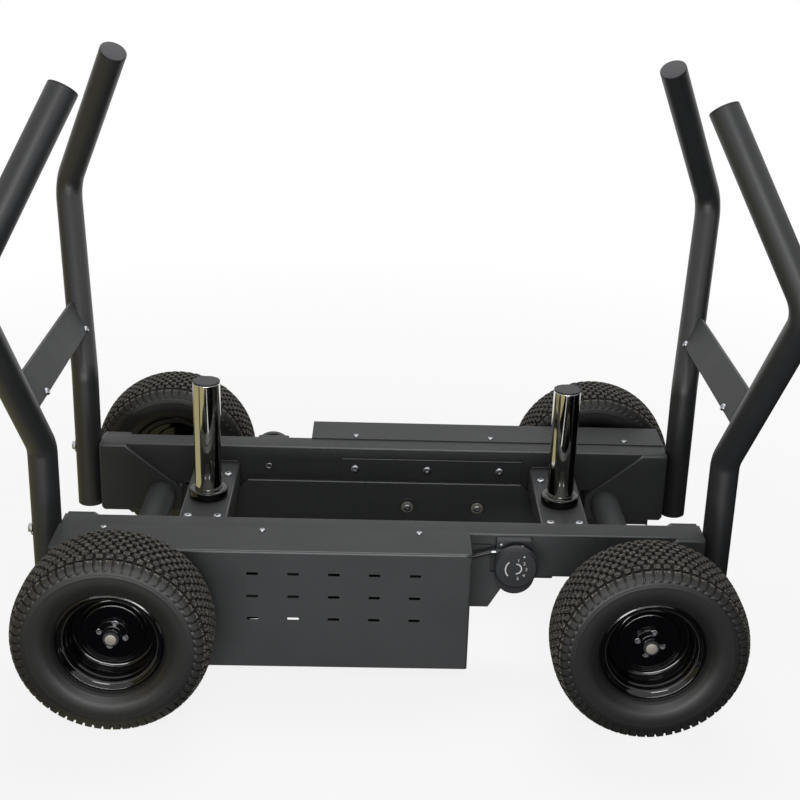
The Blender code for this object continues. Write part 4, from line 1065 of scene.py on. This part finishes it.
# Cross plates: a folded plate welded between the two handles of each end, with two screws.
# The plates themselves are the CAD's, coated above. They lean from their lower to their upper edge.
PLATE_EDGES = ((0.5849, 0.4850), (0.6164, 0.5360))
PLATE_SCREW = 0.0080
PLATE_SCREW_AT = (0.5873, 0.4889)
PLATE_SCREW_Y = (-0.140, 0.203)
lean_x, lean_z = np.subtract(*PLATE_EDGES[::-1])
for end, x_sign in END_SIGN.items():
    facing = unit(np.array([-lean_z * x_sign, 0, lean_x]))
    spots = [(x_sign * PLATE_SCREW_AT[0], y, PLATE_SCREW_AT[1]) for y in PLATE_SCREW_Y]
    piece(end + "_cross_plate_screws", [button_screw(spot, facing, PLATE_SCREW) for spot in spots], zinc)

# The studio: a pale floor that fades into the white behind it, and soft light from three large panels.
# Black and straw-coloured cards lie and stand where gloss black and chrome would mirror the white.
FLOOR_WHITE = "#f2f2f2"
FLOOR_BOUNCE = "#bcbcbc"
FLOOR_HALF = 14.0
FLOOR_FADE = (0.86, 1.0, 1.0, 2.6)
AMBIENT = 0.12
CARD_LIFT = 0.004
CARD_HIGH = 1.1
CARD_FRONT = -3.2


def flat_object(name, corners, finish):
    """A stage object of one four-cornered face."""
    mesh = bpy.data.meshes.new(name)
    mesh.from_pydata(corners, [], [(0, 1, 2, 3)])
    mesh.materials.append(finish)
    made = put(name, mesh)
    return made


def level_corners(x_low, x_high, y_low, y_high, z):
    return [(x_low, y_low, z), (x_high, y_low, z), (x_high, y_high, z), (x_low, y_high, z)]


def seen_by(tree, *kinds):
    """1 for rays of the kinds named, and 0 for all others."""
    rays = [add(tree, "LightPath").outputs[f"Is {kind} Ray"] for kind in kinds]
    seen = rays[0]
    for ray in rays[1:]:
        seen = add(tree, "Math", {0: seen, 1: ray}, operation="MAXIMUM").outputs[0]
    return seen


# Paper sweep: matt white, and glowing to the eye the more the further it is, so that it fades out.
paper, tree, place = new_finish("white_paper_sweep")
diffuse = add(tree, "BsdfDiffuse", {"Color": mix(tree, seen_by(tree, "Diffuse"), FLOOR_WHITE, FLOOR_BOUNCE)})
glow = add(tree, "Emission", {"Color": (1, 1, 1, 1), "Strength": 1.0})
far = add(tree, "VectorMath", {0: place}, operation="LENGTH").outputs["Value"]
share = add(tree, "Math", {0: seen_by(tree, "Camera", "Glossy"), 1: spread(tree, far, *FLOOR_FADE)},
            operation="MULTIPLY")
mixed = add(tree, "MixShader", {0: share.outputs[0], 1: diffuse.outputs[0], 2: glow.outputs[0]})
add(tree, "OutputMaterial", {"Surface": mixed.outputs[0]})
flat_object("floor", level_corners(-FLOOR_HALF, FLOOR_HALF, -FLOOR_HALF, FLOOR_HALF, 0), paper)

world = bpy.data.worlds.new("studio")
bpy.context.scene.world = world
world.use_nodes = True
tree = world.node_tree
tree.nodes.clear()
strength = spread(tree, seen_by(tree, "Camera", "Glossy", "Transmission"), AMBIENT, 1.0)
sky = add(tree, "Background", {"Color": (1, 1, 1, 1), "Strength": strength})
add(tree, "OutputWorld", {"Surface": sky.outputs[0]})


def aim(made, place, right, up, away):
    """Puts a light or the camera in its place, with its own X, Y and Z along three directions."""
    turn = Matrix(np.stack([right, up, away], axis=1).tolist()).to_4x4()
    made.matrix_world = Matrix.Translation(place) @ turn


def panel_light(name, place, target, width, height, power):
    """A soft panel at a place, facing a target."""
    data = bpy.data.lights.new(name, "AREA")
    data.shape = "RECTANGLE"
    data.size = width
    data.size_y = height
    data.energy = power
    away = unit(np.array(place, float) - np.array(target, float))
    right = unit(np.cross((0, 0, 1), away))
    aim(put(name, data), place, right, np.cross(away, right), away)


def reflector(name, corners, finish):
    """A card that only reflections see, as a photographer sets one up for gloss black and for chrome."""
    made = flat_object(name, corners, finish)
    made.visible_camera = made.visible_diffuse = made.visible_shadow = made.visible_transmission = False


# Flock paper: black velvet fibres that give back next to nothing.
flock, tree, place = new_finish("black_flock_paper")
add(tree, "OutputMaterial", {"Surface": add(tree, "BsdfDiffuse", {"Color": linear("#0a0a0a")}).outputs[0]})

# Straw board: a warm pale card that the chrome shows as a yellow band.
straw, tree, place = new_finish("straw_board")
glow = add(tree, "Emission", {"Color": linear("#b3ab80"), "Strength": 1.0})
add(tree, "OutputMaterial", {"Surface": glow.outputs[0]})
for name, x_low, x_high, y_low, y_high, finish in (
        ("rear_floor_flag", -0.85, -0.14, CARD_FRONT, -0.47, flock),
        ("front_floor_flag", -0.02, 1.6, CARD_FRONT, -0.47, flock),
        ("inner_floor_flag", -0.34, 1.6, -0.47, 1.0, flock),
        ("straw_floor_card", -2.6, -0.36, -0.47, 1.0, straw),
        ("straw_side_card", -2.6, -0.85, CARD_FRONT, -0.47, straw)):
    reflector(name, level_corners(x_low, x_high, y_low, y_high, CARD_LIFT), finish)
for name, x, back, finish in (("straw_card", -1.5, 0.9, straw), ("black_card", 1.6, 0.7, flock)):
    reflector(name, [(x, CARD_FRONT, CARD_LIFT), (x, back, CARD_LIFT), (x, back, CARD_HIGH),
                     (x, CARD_FRONT, CARD_HIGH)], finish)

panel_light("top_panel", (0.3, 1.2, 3.4), (0, 0.1, 0.2), 3.0, 1.6, 53)
panel_light("front_panel", (-0.4, -4.2, 0.32), (0, 0, 0.2), 3.4, 0.5, 90)
panel_light("window_panel", (0.0, -4.0, 3.1), (0, 0, 0.4), 2.0, 0.6, 46)

# The camera: the photo's viewpoint, lens and framing, fitted to the sled's own symmetry. The picture's
# middle is off the lens's axis, because the photo is a crop.
CAMERA_PLACE = (-0.0205, -2.4695, 1.3824)
YAW, PITCH, ROLL = 2.3983, -20.7227, 2.1919
FOCAL_PX = 1437.33
MIDDLE_PX = (432.75, 394.48)
PICTURE_PX = 800
camera = bpy.data.cameras.new("camera")
camera.sensor_width = 36.0
camera.lens = FOCAL_PX / PICTURE_PX * camera.sensor_width
camera.shift_x = (PICTURE_PX / 2 - MIDDLE_PX[0]) / PICTURE_PX
camera.shift_y = (MIDDLE_PX[1] - PICTURE_PX / 2) / PICTURE_PX
camera.clip_end = 60.0
yaw, pitch, roll = (math.radians(angle) for angle in (YAW, PITCH, ROLL))
ahead = np.array([math.sin(yaw) * math.cos(pitch), math.cos(yaw) * math.cos(pitch), math.sin(pitch)])
level = np.array([math.cos(yaw), -math.sin(yaw), 0])
raised = np.cross(level, ahead)
right = level * math.cos(roll) + raised * math.sin(roll)
up = raised * math.cos(roll) - level * math.sin(roll)
eye = put("camera", camera)
aim(eye, CAMERA_PLACE, right, up, -ahead)
bpy.context.scene.camera = eye
bpy.context.scene.view_settings.view_transform = "Standard"
